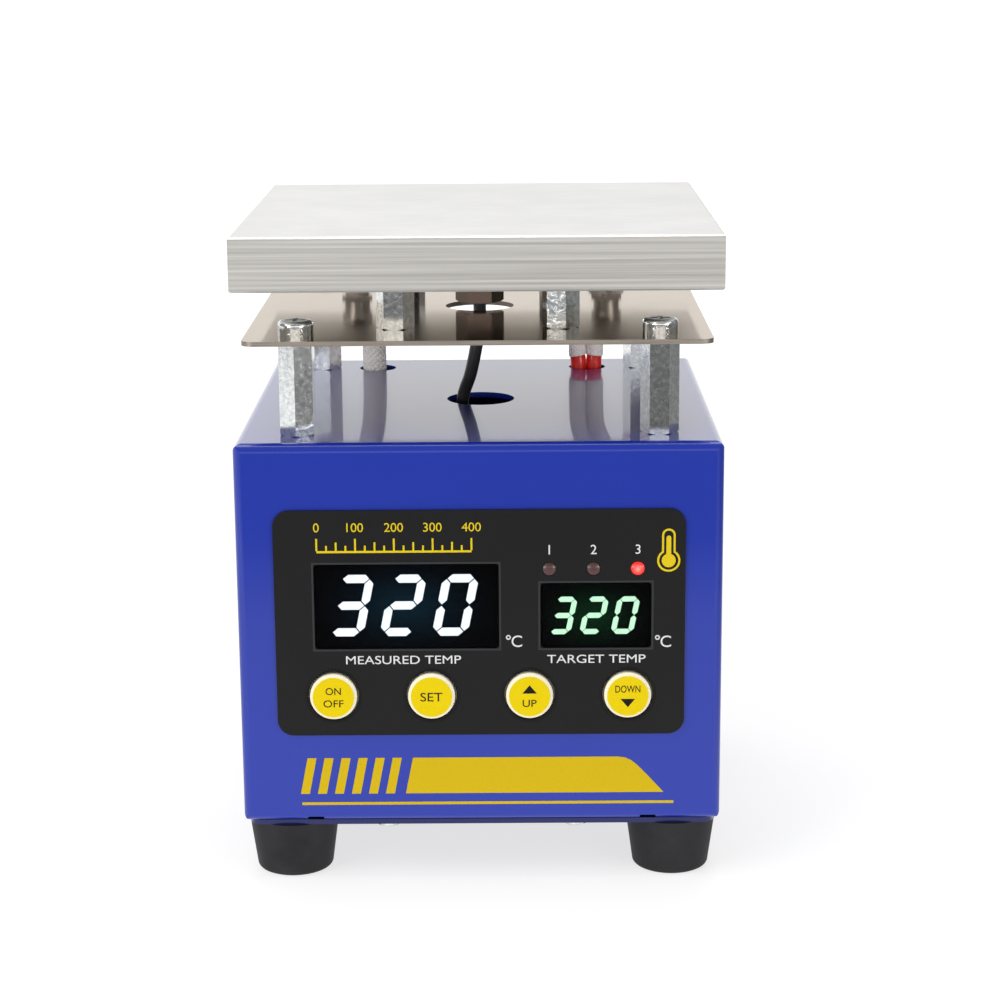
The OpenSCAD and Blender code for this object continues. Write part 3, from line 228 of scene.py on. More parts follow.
def blend_colours(material, share, first, second):
    """Mixes two colours, either of which may be an output, by a share."""
    node = add_node(material, "ShaderNodeMix", data_type="RGBA")
    colours = [s for s in node.inputs if s.type == "RGBA"]
    for colour, socket in zip((first, second), colours):
        if isinstance(colour, tuple):
            socket.default_value = (*colour, 1.0)
        else:
            join(material, colour, socket)
    join(material, share, node.inputs["Factor"])
    return next(s for s in node.outputs if s.type == "RGBA")


def blend_values(material, share, first, second):
    """Mixes two outputs by a share."""
    node = add_node(material, "ShaderNodeMix", data_type="FLOAT")
    join(material, share, node.inputs["Factor"])
    join(material, first, node.inputs["A"])
    join(material, second, node.inputs["B"])
    return node.outputs["Result"]


def compute(material, operation, *values):
    """One step of arithmetic on outputs or numbers."""
    node = add_node(material, "ShaderNodeMath", operation=operation)
    for value, socket in zip(values, node.inputs):
        if isinstance(value, (int, float)):
            socket.default_value = value
        else:
            join(material, value, socket)
    return node.outputs["Value"]


def lying(material):
    """1 on faces that look up or down and 0 on the sides."""
    normal = add_node(material, "ShaderNodeNewGeometry").outputs["Normal"]
    upward = compute(material, "ABSOLUTE", split(material, normal)["Z"])
    return remap(material, upward, 0.6, 0.9)


def tint(material, share, first, second):
    """Colours the surface from one colour to another by a share."""
    feed(material, "Base Color", blend_colours(material, share, first, second))


def roughen(material, source, low, high, smooth, rough):
    """Takes the roughness from smooth to rough as a value goes from low to high."""
    feed(material, "Roughness", remap(material, source, low, high, smooth, rough))


def relief(material, height, microns, strength, coat=False):
    """Bump of a depth on the shader's normal, and on its coat where asked."""
    node = add_node(material, "ShaderNodeBump", Strength=strength, Distance=microns * MICRON)
    join(material, height, node.inputs["Height"])
    feed(material, "Normal", node.outputs["Normal"])
    if coat:
        feed(material, "Coat Normal", node.outputs["Normal"])


def darker(colour, share):
    """A colour brought down to a share of its light."""
    return tuple(c * share for c in colour)


# Finishes

def powder_coat(name, dark, light):
    """Glossy powder coat with a fine orange peel."""
    paint = new_finish(
        name, light, 0.32, IOR=1.33,
        Coat_Weight=1.0, Coat_Roughness=0.035, Coat_IOR=1.36,
    )
    place = body_place(paint)
    tint(paint, cloud(paint, place, 45.0), dark, light)
    peel = cloud(paint, place, 950.0, detail=1.5)
    relief(paint, peel, 12, 0.35, coat=True)
    return paint


def foot_rubber():
    """Moulded black rubber, dusty in places."""
    clean, dusty = (0.014, 0.014, 0.0155), (0.027, 0.027, 0.029)
    rubber = new_finish("foot_rubber", clean, 0.6, Specular_IOR_Level=0.18)
    place = body_place(rubber)
    dust = remap(rubber, cloud(rubber, place, 130.0, 5.0), 0.35, 0.75)
    tint(rubber, dust, clean, dusty)
    roughen(rubber, dust, 0.0, 1.0, 0.52, 0.7)
    relief(rubber, cloud(rubber, place, 2600.0, 2.0), 30, 0.5)
    return rubber


def panel_film():
    """Black printed film with a fine satin grain."""
    deep, pale = (0.005, 0.005, 0.0053), (0.0075, 0.0075, 0.008)
    film = new_finish("panel_film", pale, 0.4, Specular_IOR_Level=0.2)
    place = body_place(film)
    grain = cloud(film, place, 5200.0, 1.0)
    tint(film, cloud(film, place, 60.0), deep, pale)
    roughen(film, grain, 0.3, 0.7, 0.36, 0.5)
    relief(film, grain, 6, 0.5)
    return film


def smoke_lens():
    """Tinted window that lets the lit digits through."""
    smoke = (0.002, 0.002, 0.0025)
    lens = new_finish("smoke_lens", smoke, 0.06, Specular_IOR_Level=0.03, Alpha=0.25)
    smear = cloud(lens, body_place(lens), 180.0, 2.0)
    roughen(lens, smear, 0.4, 0.8, 0.04, 0.1)
    return lens


def display_face(name, glow, middle, reach):
    """Black display block whose face has a painted glow round its digits, emission standing in for the light
    they spill onto it.
    """
    black = (0.0015, 0.0015, 0.002)
    face = new_finish(name, black, 0.5, Specular_IOR_Level=0.03, Emission_Color=(*glow, 1.0))
    grain = cloud(face, body_place(face), 3000.0, 1.0)
    speckle = remap(face, grain, 0.0, 1.0, 0.8, 1.1)
    # Painted glow: emission on the face, brightest round the digits' middle
    ball = glow_ball(face, middle, reach)
    feed(face, "Emission Strength", compute(face, "MULTIPLY", ball, speckle))
    return face


def lit_segment(name, colour, strength):
    """Lit segment of a display, its light a little uneven."""
    milky = (0.6, 0.6, 0.6)
    lit = new_finish(name, milky, 0.4, Emission_Color=(*colour, 1.0))
    ripple = cloud(lit, body_place(lit), 700.0, 1.0)
    light = remap(lit, ripple, 0.3, 0.7, strength * 0.9, strength * 1.1)
    feed(lit, "Emission Strength", light)
    return lit


def lamp_dome(name, colour, strength=0.0, middle=None):
    """Diffused lamp body, dark, or lit and hottest at its middle."""
    rim, heart = (1.0, 0.008, 0.008), (1.0, 0.42, 0.36)
    dome = new_finish(
        name, colour, 0.28,
        Subsurface_Weight=0.3, Subsurface_Scale=1.0 * MM, Emission_Strength=strength,
    )
    haze = cloud(dome, body_place(dome), 900.0, 2.0)
    tint(dome, haze, darker(colour, 0.8), colour)
    if strength:
        shine = remap(dome, haze, 0.2, 0.8, 0.8, 1.1)
        glow = compute(dome, "MULTIPLY", glow_ball(dome, middle, LAMP_GLOW_REACH), shine)
        feed(dome, "Emission Color", blend_colours(dome, glow, rim, heart))
    return dome


def key_plastic():
    """Yellow key plastic with a painted highlight, a pale ring round the edge of each key face."""
    deep, pale, highlight_cream = (0.70, 0.525, 0.003), (0.745, 0.565, 0.005), (0.93, 0.87, 0.66)
    plastic = new_finish("key_plastic", pale, 0.45, Specular_IOR_Level=0.06)
    place = body_place(plastic)
    parts = split(plastic, place)
    across = compute(plastic, "WRAP", parts["X"], KEY_PITCH, 0.0)
    across = compute(plastic, "SUBTRACT", across, KEY_PITCH / 2)
    upward = compute(plastic, "SUBTRACT", parts["Z"], KEY_HEIGHT)
    squares = [compute(plastic, "MULTIPLY", way, way) for way in (across, upward)]
    radius = compute(plastic, "SQRT", compute(plastic, "ADD", *squares))
    # Painted highlight: a pale ring round the edge of each key face, the same all round
    rim = remap(plastic, radius, KEY_HIGHLIGHT_INNER, KEY_HIGHLIGHT_OUTER)
    yellow = blend_colours(plastic, cloud(plastic, place, 220.0), deep, pale)
    tint(plastic, rim, yellow, highlight_cream)
    relief(plastic, cloud(plastic, place, 4200.0, 1.0), 6, 0.4)
    return plastic


def ink(name, colour, roughness=0.45):
    """Screen-printed ink with the faint mottle of the mesh."""
    paint = new_finish(name, colour, roughness, Specular_IOR_Level=0.15)
    mottle = cloud(paint, body_place(paint), 2600.0, 2.0)
    tint(paint, mottle, darker(colour, 0.86), colour)
    relief(paint, mottle, 4, 0.4)
    return paint


def bright_zinc():
    """Zinc-plated steel: bright, faintly blue, with the crystals of the plating."""
    dull, bright = (0.60, 0.63, 0.64), (0.94, 0.95, 0.94)
    zinc = new_finish("bright_zinc", bright, 0.16, 1.0)
    crystal = cloud(zinc, body_place(zinc), 1000.0, 4.0, 0.7)
    drawn = cloud(zinc, body_place(zinc, (1.0, 1.0, 0.12)), 2200.0, 2.0)
    tint(zinc, remap(zinc, crystal, 0.35, 0.65), dull, bright)
    roughen(zinc, crystal, 0.3, 0.75, 0.07, 0.16)
    height = compute(zinc, "ADD", compute(zinc, "MULTIPLY", crystal, 2.0), drawn)
    relief(zinc, height, 20, 0.6)
    return zinc


def polished_shield():
    """Polished stainless sheet with faint rolling lines and finger haze, dull along its cut edges."""
    sheet_deep, sheet_pale = (0.355, 0.315, 0.268), (0.42, 0.378, 0.328)
    edge_deep, edge_pale = (0.22, 0.185, 0.155), (0.44, 0.39, 0.34)
    warm = (1.0, 0.95, 0.89, 1.0)
    steel = new_finish("polished_shield", sheet_pale, 0.13, 1.0, Specular_Tint=warm)
    lines = cloud(steel, body_place(steel, (0.03, 1.0, 1.0)), 2400.0, 3.0)
    haze = cloud(steel, body_place(steel), 55.0, 4.0)
    flat = lying(steel)
    sheet = blend_colours(steel, lines, sheet_deep, sheet_pale)
    edge = blend_colours(steel, lines, edge_deep, edge_pale)
    tint(steel, flat, edge, sheet)
    sawn = remap(steel, lines, 0.3, 0.7, 0.4, 0.6)
    polish = remap(steel, haze, 0.3, 0.75, 0.05, 0.13)
    feed(steel, "Roughness", blend_values(steel, flat, sawn, polish))
    relief(steel, lines, 2, 0.4)
    return steel


def plate_aluminium():
    """Aluminium block: sanded top, sawn sides with fine streaks along the cut, the sides also coloured
    darker as painted shade.
    """
    # Sides darker than the top: painted shade laid over the real sawn finish
    shaded_side_deep, shaded_side_pale = (0.49, 0.472, 0.447), (0.69, 0.675, 0.645)
    top_deep, top_pale = (0.745, 0.74, 0.725), (0.85, 0.845, 0.83)
    metal = new_finish("plate_aluminium", top_pale, 0.4, 1.0)
    sawn = cloud(metal, body_place(metal, (0.005, 0.005, 1.0)), 2000.0, 3.0, 0.6)
    sanded = cloud(metal, body_place(metal, (0.06, 1.0, 1.0)), 1500.0, 4.0, 0.7)
    patches = cloud(metal, body_place(metal), 45.0, 5.0, 0.6)
    flat = lying(metal)
    side = blend_colours(metal, remap(metal, sawn, 0.3, 0.7), shaded_side_deep, shaded_side_pale)
    rubbed = remap(metal, compute(metal, "ADD", sanded, patches), 0.75, 1.25)
    top = blend_colours(metal, rubbed, top_deep, top_pale)
    tint(metal, flat, side, top)
    rough_side = remap(metal, sawn, 0.3, 0.7, 0.4, 0.58)
    rough_top = remap(metal, rubbed, 0.0, 1.0, 0.42, 0.58)
    feed(metal, "Roughness", blend_values(metal, flat, rough_side, rough_top))
    relief(metal, blend_values(metal, flat, sawn, sanded), 20, 0.5)
    return metal


def plain_metal(name, colour, roughness, grain=1800.0, microns=8):
    """Metal with a fine even grain."""
    metal = new_finish(name, colour, roughness, 1.0)
    mottle = cloud(metal, body_place(metal), grain, 3.0)
    tint(metal, mottle, darker(colour, 0.82), colour)
    roughen(metal, mottle, 0.3, 0.7, roughness * 0.8, roughness * 1.25)
    relief(metal, mottle, microns, 0.5)
    return metal


def plain_plastic(name, colour, roughness):
    """Moulded plastic with a fine spark-eroded grain."""
    plastic = new_finish(name, colour, roughness)
    place = body_place(plastic)
    tint(plastic, cloud(plastic, place, 150.0, 3.0), darker(colour, 0.85), colour)
    relief(plastic, cloud(plastic, place, 3200.0, 2.0), 10, 0.5)
    return plastic


def laminated_core():
    """Stacked transformer laminations."""
    deep, pale = (0.2, 0.2, 0.21), (0.42, 0.42, 0.44)
    core = new_finish("laminated_core", pale, 0.42, 1.0)
    stack = bands(core, "Y", 320.0, 0.4)
    tint(core, stack, deep, pale)
    relief(core, stack, 80, 0.6)
    return core


def wound_copper():
    """Enamelled wire laid in turns."""
    deep, pale = (0.3, 0.12, 0.04), (0.68, 0.34, 0.12)
    copper = new_finish("wound_copper", pale, 0.3, 1.0)
    turns = bands(copper, "Z", 420.0, 0.3)
    tint(copper, turns, deep, pale)
    relief(copper, turns, 120, 0.8)
    return copper


def circuit_board():
    """Green solder mask over faint copper tracks."""
    deep, pale = (0.016, 0.11, 0.045), (0.03, 0.19, 0.085)
    board = new_finish("circuit_board", deep, 0.34)
    tracks = add_node(board, "ShaderNodeTexBrick", Scale=160.0)
    tracks.inputs["Mortar Size"].default_value = 0.03
    join(board, body_place(board), tracks.inputs["Vector"])
    tint(board, tracks.outputs["Fac"], deep, pale)
    relief(board, tracks.outputs["Fac"], 30, 0.6)
    return board


def clear_glass():
    """Fuse glass."""
    glass = new_finish("clear_glass", (0.9, 0.95, 0.95), 0.03, Transmission_Weight=1.0)
    roughen(glass, cloud(glass, body_place(glass), 300.0), 0.3, 0.8, 0.02, 0.08)
    return glass


def braided_fibre():
    """Pale glass-fibre yarn, soiled in places."""
    deep, pale, soiled = (0.90, 0.83, 0.78), (0.98, 0.94, 0.90), (0.62, 0.46, 0.40)
    fibre = new_finish("braided_fibre", pale, 0.75, Sheen_Weight=0.6, Sheen_Roughness=0.5)
    place = body_place(fibre)
    thread = cloud(fibre, place, 2600.0, 3.0)
    grime = remap(fibre, cloud(fibre, place, 160.0, 3.0), 0.55, 0.85, 0.0, 0.35)
    tint(fibre, grime, blend_colours(fibre, thread, deep, pale), soiled)
    relief(fibre, thread, 30, 0.6)
    return fibre


def silicone(name, colour, roughness=0.32, clear=0.0):
    """Smooth lead insulation, clear enough to glow a little where asked."""
    skin = new_finish(
        name, colour, roughness, Coat_Weight=0.25, Coat_Roughness=0.15,
        Subsurface_Weight=clear, Subsurface_Radius=(1.0, 0.2, 0.1), Subsurface_Scale=4.0 * MM,
    )
    place = body_place(skin)
    tint(skin, cloud(skin, place, 240.0, 3.0), darker(colour, 0.78), colour)
    relief(skin, cloud(skin, place, 1900.0, 2.0), 10, 0.4)
    return skin


FINISH = {
    "blue_paint": powder_coat("blue_paint", (0.007, 0.026, 0.315), (0.0095, 0.031, 0.355)),
    # Painted shade: the base plate has the case's blue paint, darkened to stand for the shade under the
    # case's edge
    "shade_darkened_blue_paint": powder_coat("shade_darkened_blue_paint", (0.003, 0.006, 0.085), (0.004, 0.008, 0.105)),
    "foot_rubber": foot_rubber(),
    "panel_film": panel_film(),
    "smoke_lens": smoke_lens(),
    "main_face": display_face(
        "main_display_face", (0.006, 0.030, 0.052),
        display_point("main_display", -0.3 * MM, 0.0), MAIN_GLOW_REACH,
    ),
    "preset_face": display_face(
        "preset_display_face", (0.004, 0.045, 0.014),
        display_point("preset_display", -0.3 * MM, -0.1 * MM), PRESET_GLOW_REACH,
    ),
    "white_light": lit_segment("white_segments", (0.80, 0.88, 1.0), 1.7),
    "green_light": lit_segment("green_segments", (0.48, 1.0, 0.60), 1.5),
    "lamp_dark": lamp_dome("lamp_dark", (0.085, 0.032, 0.032)),
    "lamp_lit": lamp_dome("lamp_lit", (0.85, 0.02, 0.015), 1.1, lamp_heart("channel_lamp_3")),
    "key_plastic": key_plastic(),
    "white_ink": ink("white_ink", (0.72, 0.72, 0.72)),
    "yellow_ink": ink("yellow_ink", (0.74, 0.55, 0.01)),
    "black_ink": ink("black_ink", (0.008, 0.007, 0.006)),
    "grey_ink": ink("grey_ink", (0.035, 0.036, 0.038)),
    "gold_ink": ink("gold_ink", (0.62, 0.43, 0.003), 0.4),
    "bright_zinc": bright_zinc(),
    "polished_shield": polished_shield(),
    "plate_aluminium": plate_aluminium(),
    "sheath_steel": plain_metal("sheath_steel", (0.46, 0.43, 0.40), 0.34),
    # Painted shade and reflection: the sensor's steel is coloured dark brown for the shade and dark
    # surroundings it mirrors
    "shade_darkened_sensor_steel": plain_metal("shade_darkened_sensor_steel", (0.15, 0.115, 0.10), 0.14, 900.0, 20),
    "sink_aluminium": plain_metal("sink_aluminium", (0.72, 0.72, 0.73), 0.36),
    "nickel": plain_metal("nickel", (0.74, 0.71, 0.64), 0.2),
    "black_part": plain_plastic("black_part", (0.022, 0.022, 0.024), 0.48),
    "inlet_plastic": plain_plastic("inlet_plastic", (0.016, 0.016, 0.017), 0.36),
    "header_nylon": plain_plastic("header_nylon", (0.78, 0.77, 0.70), 0.45),
    "terminal_plastic": plain_plastic("terminal_plastic", (0.05, 0.28, 0.07), 0.42),
    "laminated_core": laminated_core(),
    "wound_copper": wound_copper(),
    "circuit_board": circuit_board(),
    "clear_glass": clear_glass(),
    "braided_fibre": braided_fibre(),
    "cable_black": silicone("cable_black", (0.016, 0.016, 0.017), 0.42),
    "lead_red": silicone("lead_red", (0.95, 0.03, 0.015), 0.25, 0.8),
    "wire_brown": silicone("wire_brown", (0.16, 0.06, 0.02)),
    "wire_blue": silicone("wire_blue", (0.02, 0.08, 0.42)),
    "wire_green": silicone("wire_green", (0.09, 0.3, 0.03)),
    "ribbon_grey": silicone("ribbon_grey", (0.36, 0.36, 0.37), 0.45),
}

# The solids that take each finish
FINISHED_NODES = {
    "blue_paint": ("case_shell",),
    # The base plate takes the darkened paint, its painted shade
    "shade_darkened_blue_paint": ("base_plate",),
    "foot_rubber": ("foot_front_left", "foot_front_right", "foot_rear_left", "foot_rear_right"),
    "panel_film": ("panel_overlay",),
    "smoke_lens": ("main_window", "preset_window"),
    "main_face": ("main_display",),
    "preset_face": ("preset_display",),
    "lamp_dark": ("channel_lamp_1", "channel_lamp_2"),
    "lamp_lit": ("channel_lamp_3",),
    "key_plastic": ("key_power", "key_set", "key_up", "key_down"),
    "bright_zinc": (
        "base_screws", "foot_screws", "foot_nuts", "control_posts", "control_screws",
        "power_pillars", "power_screws", "inlet_screws", "shield_pillars", "pillar_screws",
        "shield_screws", "plate_risers", "riser_screws",
    ),
    "polished_shield": ("heat_shield",),
    "plate_aluminium": ("heater_plate",),
    "sheath_steel": ("heating_element",),
    # The sensor body's steel carries painted shade and reflection
    "shade_darkened_sensor_steel": ("sensor_body",),
    "sink_aluminium": ("triac_heatsink",),
    "nickel": ("fuse_clips", "inlet_pins"),
    "black_part": ("key_switches", "control_chip", "heater_triac", "supply_capacitor"),
    "inlet_plastic": ("mains_inlet",),
    "header_nylon": ("plug_headers",),
    "terminal_plastic": ("terminal_blocks",),
    "laminated_core": ("transformer_core",),
    "wound_copper": ("transformer_coil",),
    "circuit_board": ("control_board", "power_board"),
    "clear_glass": ("glass_fuse",),
    "braided_fibre": ("lead_sleeve_left", "lead_sleeve_right"),
    "cable_black": ("sensor_cable",),
    "lead_red": ("heater_lead_left", "heater_lead_right"),
    "wire_brown": ("live_wire",),
    "wire_blue": ("neutral_wire",),
    "wire_green": ("earth_wire",),
    "ribbon_grey": ("control_harness",),
}


def dress_nodes():
    """Gives every carried-over solid its finish."""
    finish_of = {node: finish for finish, nodes in FINISHED_NODES.items() for node in nodes}
    for name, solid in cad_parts.items():
        for slot in solid.material_slots:
            slot.material = FINISH[finish_of[name]]


# Stage: papers, sky and soft boxes

WHITE = (1.0, 1.0, 1.0, 1.0)
PAPER_GREY = (0.38, 0.38, 0.38)
FLOOR_SIDES = 96
FLOOR_FLAT = 2.2
FLOOR_BEND = 0.8
FLOOR_TOP = 2.6
SWEEP_FRONT = -2.0
SWEEP_FLAT = 1.0
SWEEP_BEND = 0.5
SWEEP_TOP = 2.2
SWEEP_HALF_WIDTH = 3.0
SWEEP_DROP = 1.0 * MM
BEND_STEPS = 16
SKY_STRENGTH = 0.3
CASE_HEART = (0.0, 0.0, 0.08)
STACK_HEART = (0.0, 0.03, 0.105)
# Name, place, aim, width, height and power of each soft box
SOFT_BOXES = (
    ("key_box", (-0.75, -0.55, 0.95), CASE_HEART, 0.8, 0.8, 5.5),
    ("fill_box", (0.9, -0.5, 0.7), CASE_HEART, 0.6, 0.6, 1.2),
    ("top_box", (0.0, 0.05, 1.2), CASE_HEART, 0.6, 0.6, 5.4),
    ("front_box", (0.0, -1.1, 0.2), (0.0, 0.0, 0.2), 1.3, 0.36, 1.6),
    ("low_box_left", (-0.75, -0.9, 0.12), STACK_HEART, 0.4, 0.18, 3.0),
    ("low_box_right", (0.75, -0.9, 0.12), STACK_HEART, 0.4, 0.18, 3.0),
)


def lit_paper():
    """Paper that the object mirrors: it glows, less so in front of the object and to its right."""
    shaded = (0.12, 0.12, 0.12)
    front_dark, front_lit = -0.345, -0.245
    right_lit, right_dark, right_left_over = 0.13, 0.36, 0.15
    widening, widening_end = 0.52, 1.5
    glow_near, glow_far = 0.66, 0.80
    paper = new_finish("lit_paper", PAPER_GREY, 0.9, Specular_IOR_Level=0.1, Emission_Color=WHITE)
    parts = split(paper, body_place(paper))
    across, along = parts["X"], parts["Y"]
    front = remap(paper, along, front_dark, front_lit)
    spread = remap(paper, along, 0.0, widening_end, 0.0, widening)
    beyond = compute(paper, "SUBTRACT", across, spread)
    right = remap(paper, beyond, right_lit, right_dark, 1.0, right_left_over)
    lit = compute(paper, "MULTIPLY", front, right)
    glow = remap(paper, along, 0.2, 1.2, glow_near, glow_far)
    feed(paper, "Emission Strength", compute(paper, "MULTIPLY", lit, glow))
    tint(paper, lit, shaded, PAPER_GREY)
    return paper


def pale_paper():
    """Pale floor that glows more the further it lies from the lights, so that it looks even."""
    paper = new_finish("pale_paper", PAPER_GREY, 0.9, Specular_IOR_Level=0.1, Emission_Color=WHITE)
    away = add_node(paper, "ShaderNodeVectorMath", operation="LENGTH")
    join(paper, body_place(paper), away.inputs["Vector"])
    feed(paper, "Emission Strength", remap(paper, away.outputs["Value"], 0.25, 1.2, 0.70, 1.0))
    return paper


def bent_line(start, bend_start, bend_r, top):
    """Side view of paper that lies flat from a start and bends up into a wall."""
    line = [(start, 0.0)]
    for i in range(BEND_STEPS + 1):
        a = math.pi / 2 * i / BEND_STEPS
        line.append((bend_start + bend_r * math.sin(a), bend_r - bend_r * math.cos(a)))
    return line + [(bend_start + bend_r, top)]


def stage_sheet(name, rows, finish):
    """A smooth sheet through rows of points, which is no part of the object."""
    count = len(rows[0])
    points = [point for row in rows for point in row]
    faces = [
        (r * count + i, r * count + i + 1, (r + 1) * count + i + 1, (r + 1) * count + i)
        for r in range(len(rows) - 1) for i in range(count - 1)
    ]
    mesh = bpy.data.meshes.new(name)
    mesh.from_pydata(points, [], faces)
    for polygon in mesh.polygons:
        polygon.use_smooth = True
    mesh.materials.append(finish)
    sheet = bpy.data.objects.new(name, mesh)
    scene.collection.objects.link(sheet)
    return sheet


def lay_papers():
    """A pale floor that bends up all round, for the camera, and lit paper for light and mirrors."""
    turns = [2 * math.pi * i / FLOOR_SIDES for i in range(FLOOR_SIDES + 1)]
    bowl = [
        [(r * math.cos(a), r * math.sin(a), z) for a in turns]
        for r, z in bent_line(0.0, FLOOR_FLAT, FLOOR_BEND, FLOOR_TOP)
    ]
    floor = stage_sheet("floor", bowl, pale_paper())
    floor.visible_diffuse = False
    floor.visible_glossy = False
    floor.visible_transmission = False
    floor.visible_shadow = False
    sweep = [
        [(x, y, z - SWEEP_DROP) for x in (-SWEEP_HALF_WIDTH, SWEEP_HALF_WIDTH)]
        for y, z in bent_line(SWEEP_FRONT, SWEEP_FLAT, SWEEP_BEND, SWEEP_TOP)
    ]
    mirrored = stage_sheet("lit_paper", sweep, lit_paper())
    mirrored.visible_camera = False


def light_stage():
    """An even sky and soft boxes that the camera doesn't see."""
    world = bpy.data.worlds.new("studio")
    world.use_nodes = True
    sky = world.node_tree.nodes["Background"]
    sky.inputs["Color"].default_value = WHITE
    sky.inputs["Strength"].default_value = SKY_STRENGTH
    scene.world = world
    for name, place, aim, width, height, power in SOFT_BOXES:
        data = bpy.data.lights.new(name, "AREA")
        data.shape = "RECTANGLE"
        data.size = width
        data.size_y = height
        data.energy = power
        lamp = bpy.data.objects.new(name, data)
        scene.collection.objects.link(lamp)
        lamp.location = place
        lamp.rotation_euler = (Vector(aim) - Vector(place)).to_track_quat("-Z", "Y").to_euler()
        lamp.visible_camera = False
    scene.view_settings.view_transform = "Standard"
    scene.view_settings.look = "None"


# Node trees for what repeats or follows a path

class Tree:
    """A geometry node tree with named inputs that ends in a material."""

    def __init__(self, name, **inputs):
        self.group = bpy.data.node_groups.new(name, "GeometryNodeTree")
        face = self.group.interface
        face.new_socket("Geometry", in_out="INPUT", socket_type="NodeSocketGeometry")
        for label, value in inputs.items():
            kind = "NodeSocketInt" if isinstance(value, int) else "NodeSocketFloat"
            face.new_socket(label, in_out="INPUT", socket_type=kind).default_value = value
        face.new_socket("Material", in_out="INPUT", socket_type="NodeSocketMaterial")
        face.new_socket("Geometry", in_out="OUTPUT", socket_type="NodeSocketGeometry")
        self.source = self.group.nodes.new("NodeGroupInput")
        self.sink = self.group.nodes.new("NodeGroupOutput")

    def given(self, label):
        """An input of the tree."""
        return self.source.outputs[label]

    def put(self, value, socket):
        """Sets a number on an input, or links an output to it."""
        if isinstance(value, (int, float)):
            socket.default_value = value
        else:
            self.group.links.new(value, socket)

    def add(self, kind, links=None, **settings):
        """Adds a node, sets its properties or inputs, and links the named inputs."""
        node = self.group.nodes.new(kind)
        for name, value in settings.items():
            if hasattr(node, name):
                setattr(node, name, value)
            else:
                node.inputs[name].default_value = value
        for name, output in (links or {}).items():
            self.group.links.new(output, node.inputs[name])
        return node

    def compute(self, operation, *values):
        """One step of arithmetic on outputs or numbers."""
        node = self.add("ShaderNodeMath", operation=operation)
        for value, socket in zip(values, node.inputs):
            self.put(value, socket)
        return node.outputs["Value"]

    def vector(self, **parts):
        """A vector of outputs or numbers, by the names of its axes."""
        node = self.add("ShaderNodeCombineXYZ")
        for axis, value in parts.items():
            self.put(value, node.inputs[axis])
        return node.outputs["Vector"]

    def coordinate(self, axis):
        """Where each point lies along an axis."""
        place = self.add("GeometryNodeInputPosition").outputs["Position"]
        return self.add("ShaderNodeSeparateXYZ", {"Vector": place}).outputs[axis]

    def mark(self, label):
        """A number that each point carries."""
        node = self.add("GeometryNodeInputNamedAttribute", data_type="FLOAT", Name=label)
        return node.outputs["Attribute"]

    def on_points(self, shape, links=None, **settings):
        """Copies of a shape on the points that the tree is given."""
        inputs = {"Points": self.given("Geometry"), "Instance": shape, **(links or {})}
        return self.add("GeometryNodeInstanceOnPoints", inputs, **settings).outputs["Instances"]

    def close(self, geometry):
        """Realizes what was made, gives it its material and ends the tree."""
        real = self.add("GeometryNodeRealizeInstances", {"Geometry": geometry})
        last = self.add("GeometryNodeSetMaterial", {
            "Geometry": real.outputs["Geometry"], "Material": self.given("Material"),
        })
        self.group.links.new(last.outputs["Geometry"], self.sink.inputs["Geometry"])
        return self.group


def leaning(tree, copies):
    """Copies that lean sideways together, by the tree's slant over its base line."""
    real = tree.add("GeometryNodeRealizeInstances", {"Geometry": copies})
    rise = tree.compute("SUBTRACT", tree.coordinate("Z"), tree.given("Base"))
    lean = tree.vector(X=tree.compute("MULTIPLY", rise, tree.given("Slant")))
    moved = tree.add("GeometryNodeSetPosition", {"Geometry": real.outputs["Geometry"], "Offset": lean})
    return moved.outputs["Geometry"]


def segment_tree():
    """Pointed bars on points, turned by the points' own turn, for seven-segment digits."""
    tree = Tree(
        "lit_segments", Length=6.0 * MM, Width=1.7 * MM, Thickness=2 * INK, Slant=0.2, Base=60.0 * MM,
    )
    width = tree.given("Width")
    radius = tree.compute("DIVIDE", width, math.sqrt(3))
    bar = tree.add("GeometryNodeMeshCylinder", {
        "Radius": radius, "Depth": tree.given("Thickness"),
    }, Vertices=6)
    across = tree.coordinate("X")
    reach = tree.compute("SUBTRACT", tree.compute("MULTIPLY", tree.given("Length"), 0.5), width)
    ends = tree.compute("MULTIPLY", tree.compute("SIGN", across), reach)
    sharpen = tree.compute("MULTIPLY", across, math.sqrt(3) - 1)
    offset = tree.vector(X=tree.compute("ADD", ends, sharpen))
    long_bar = tree.add("GeometryNodeSetPosition", {"Geometry": bar.outputs["Mesh"], "Offset": offset})
    facing_front = tree.vector(X=math.pi / 2, Y=tree.mark("turn"))
    laid = tree.on_points(long_bar.outputs["Geometry"], {"Rotation": facing_front})
    return tree.close(leaning(tree, laid))


def bar_tree():
    """Upright bars on points, each as tall as its point says, leaning together."""
    tree = Tree("printed_bars", Width=1.0 * MM, Thickness=INK, Slant=0.0, Base=0.0)
    size = tree.vector(X=tree.given("Width"), Y=tree.given("Thickness"), Z=1.0)
    block = tree.add("GeometryNodeMeshCube", {"Size": size})
    scale = tree.vector(X=1.0, Y=1.0, Z=tree.mark("tall"))
    laid = tree.on_points(block.outputs["Mesh"], {"Scale": scale})
    return tree.close(leaning(tree, laid))


def ring_tree():
    """Flat rings on points, facing the front."""
    tree = Tree("printed_rings", Radius=5.5 * MM, Width=0.5 * MM, Thickness=INK)
    circle = tree.add("GeometryNodeCurvePrimitiveCircle", {"Radius": tree.given("Radius")}, Resolution=96)
    strip = tree.add("GeometryNodeCurvePrimitiveQuadrilateral", {
        "Width": tree.given("Width"), "Height": tree.given("Thickness"),
    })
    swept = tree.add("GeometryNodeCurveToMesh", {
        "Curve": circle.outputs["Curve"], "Profile Curve": strip.outputs["Curve"],
    })
    return tree.close(tree.on_points(swept.outputs["Mesh"], Rotation=(math.pi / 2, 0.0, 0.0)))


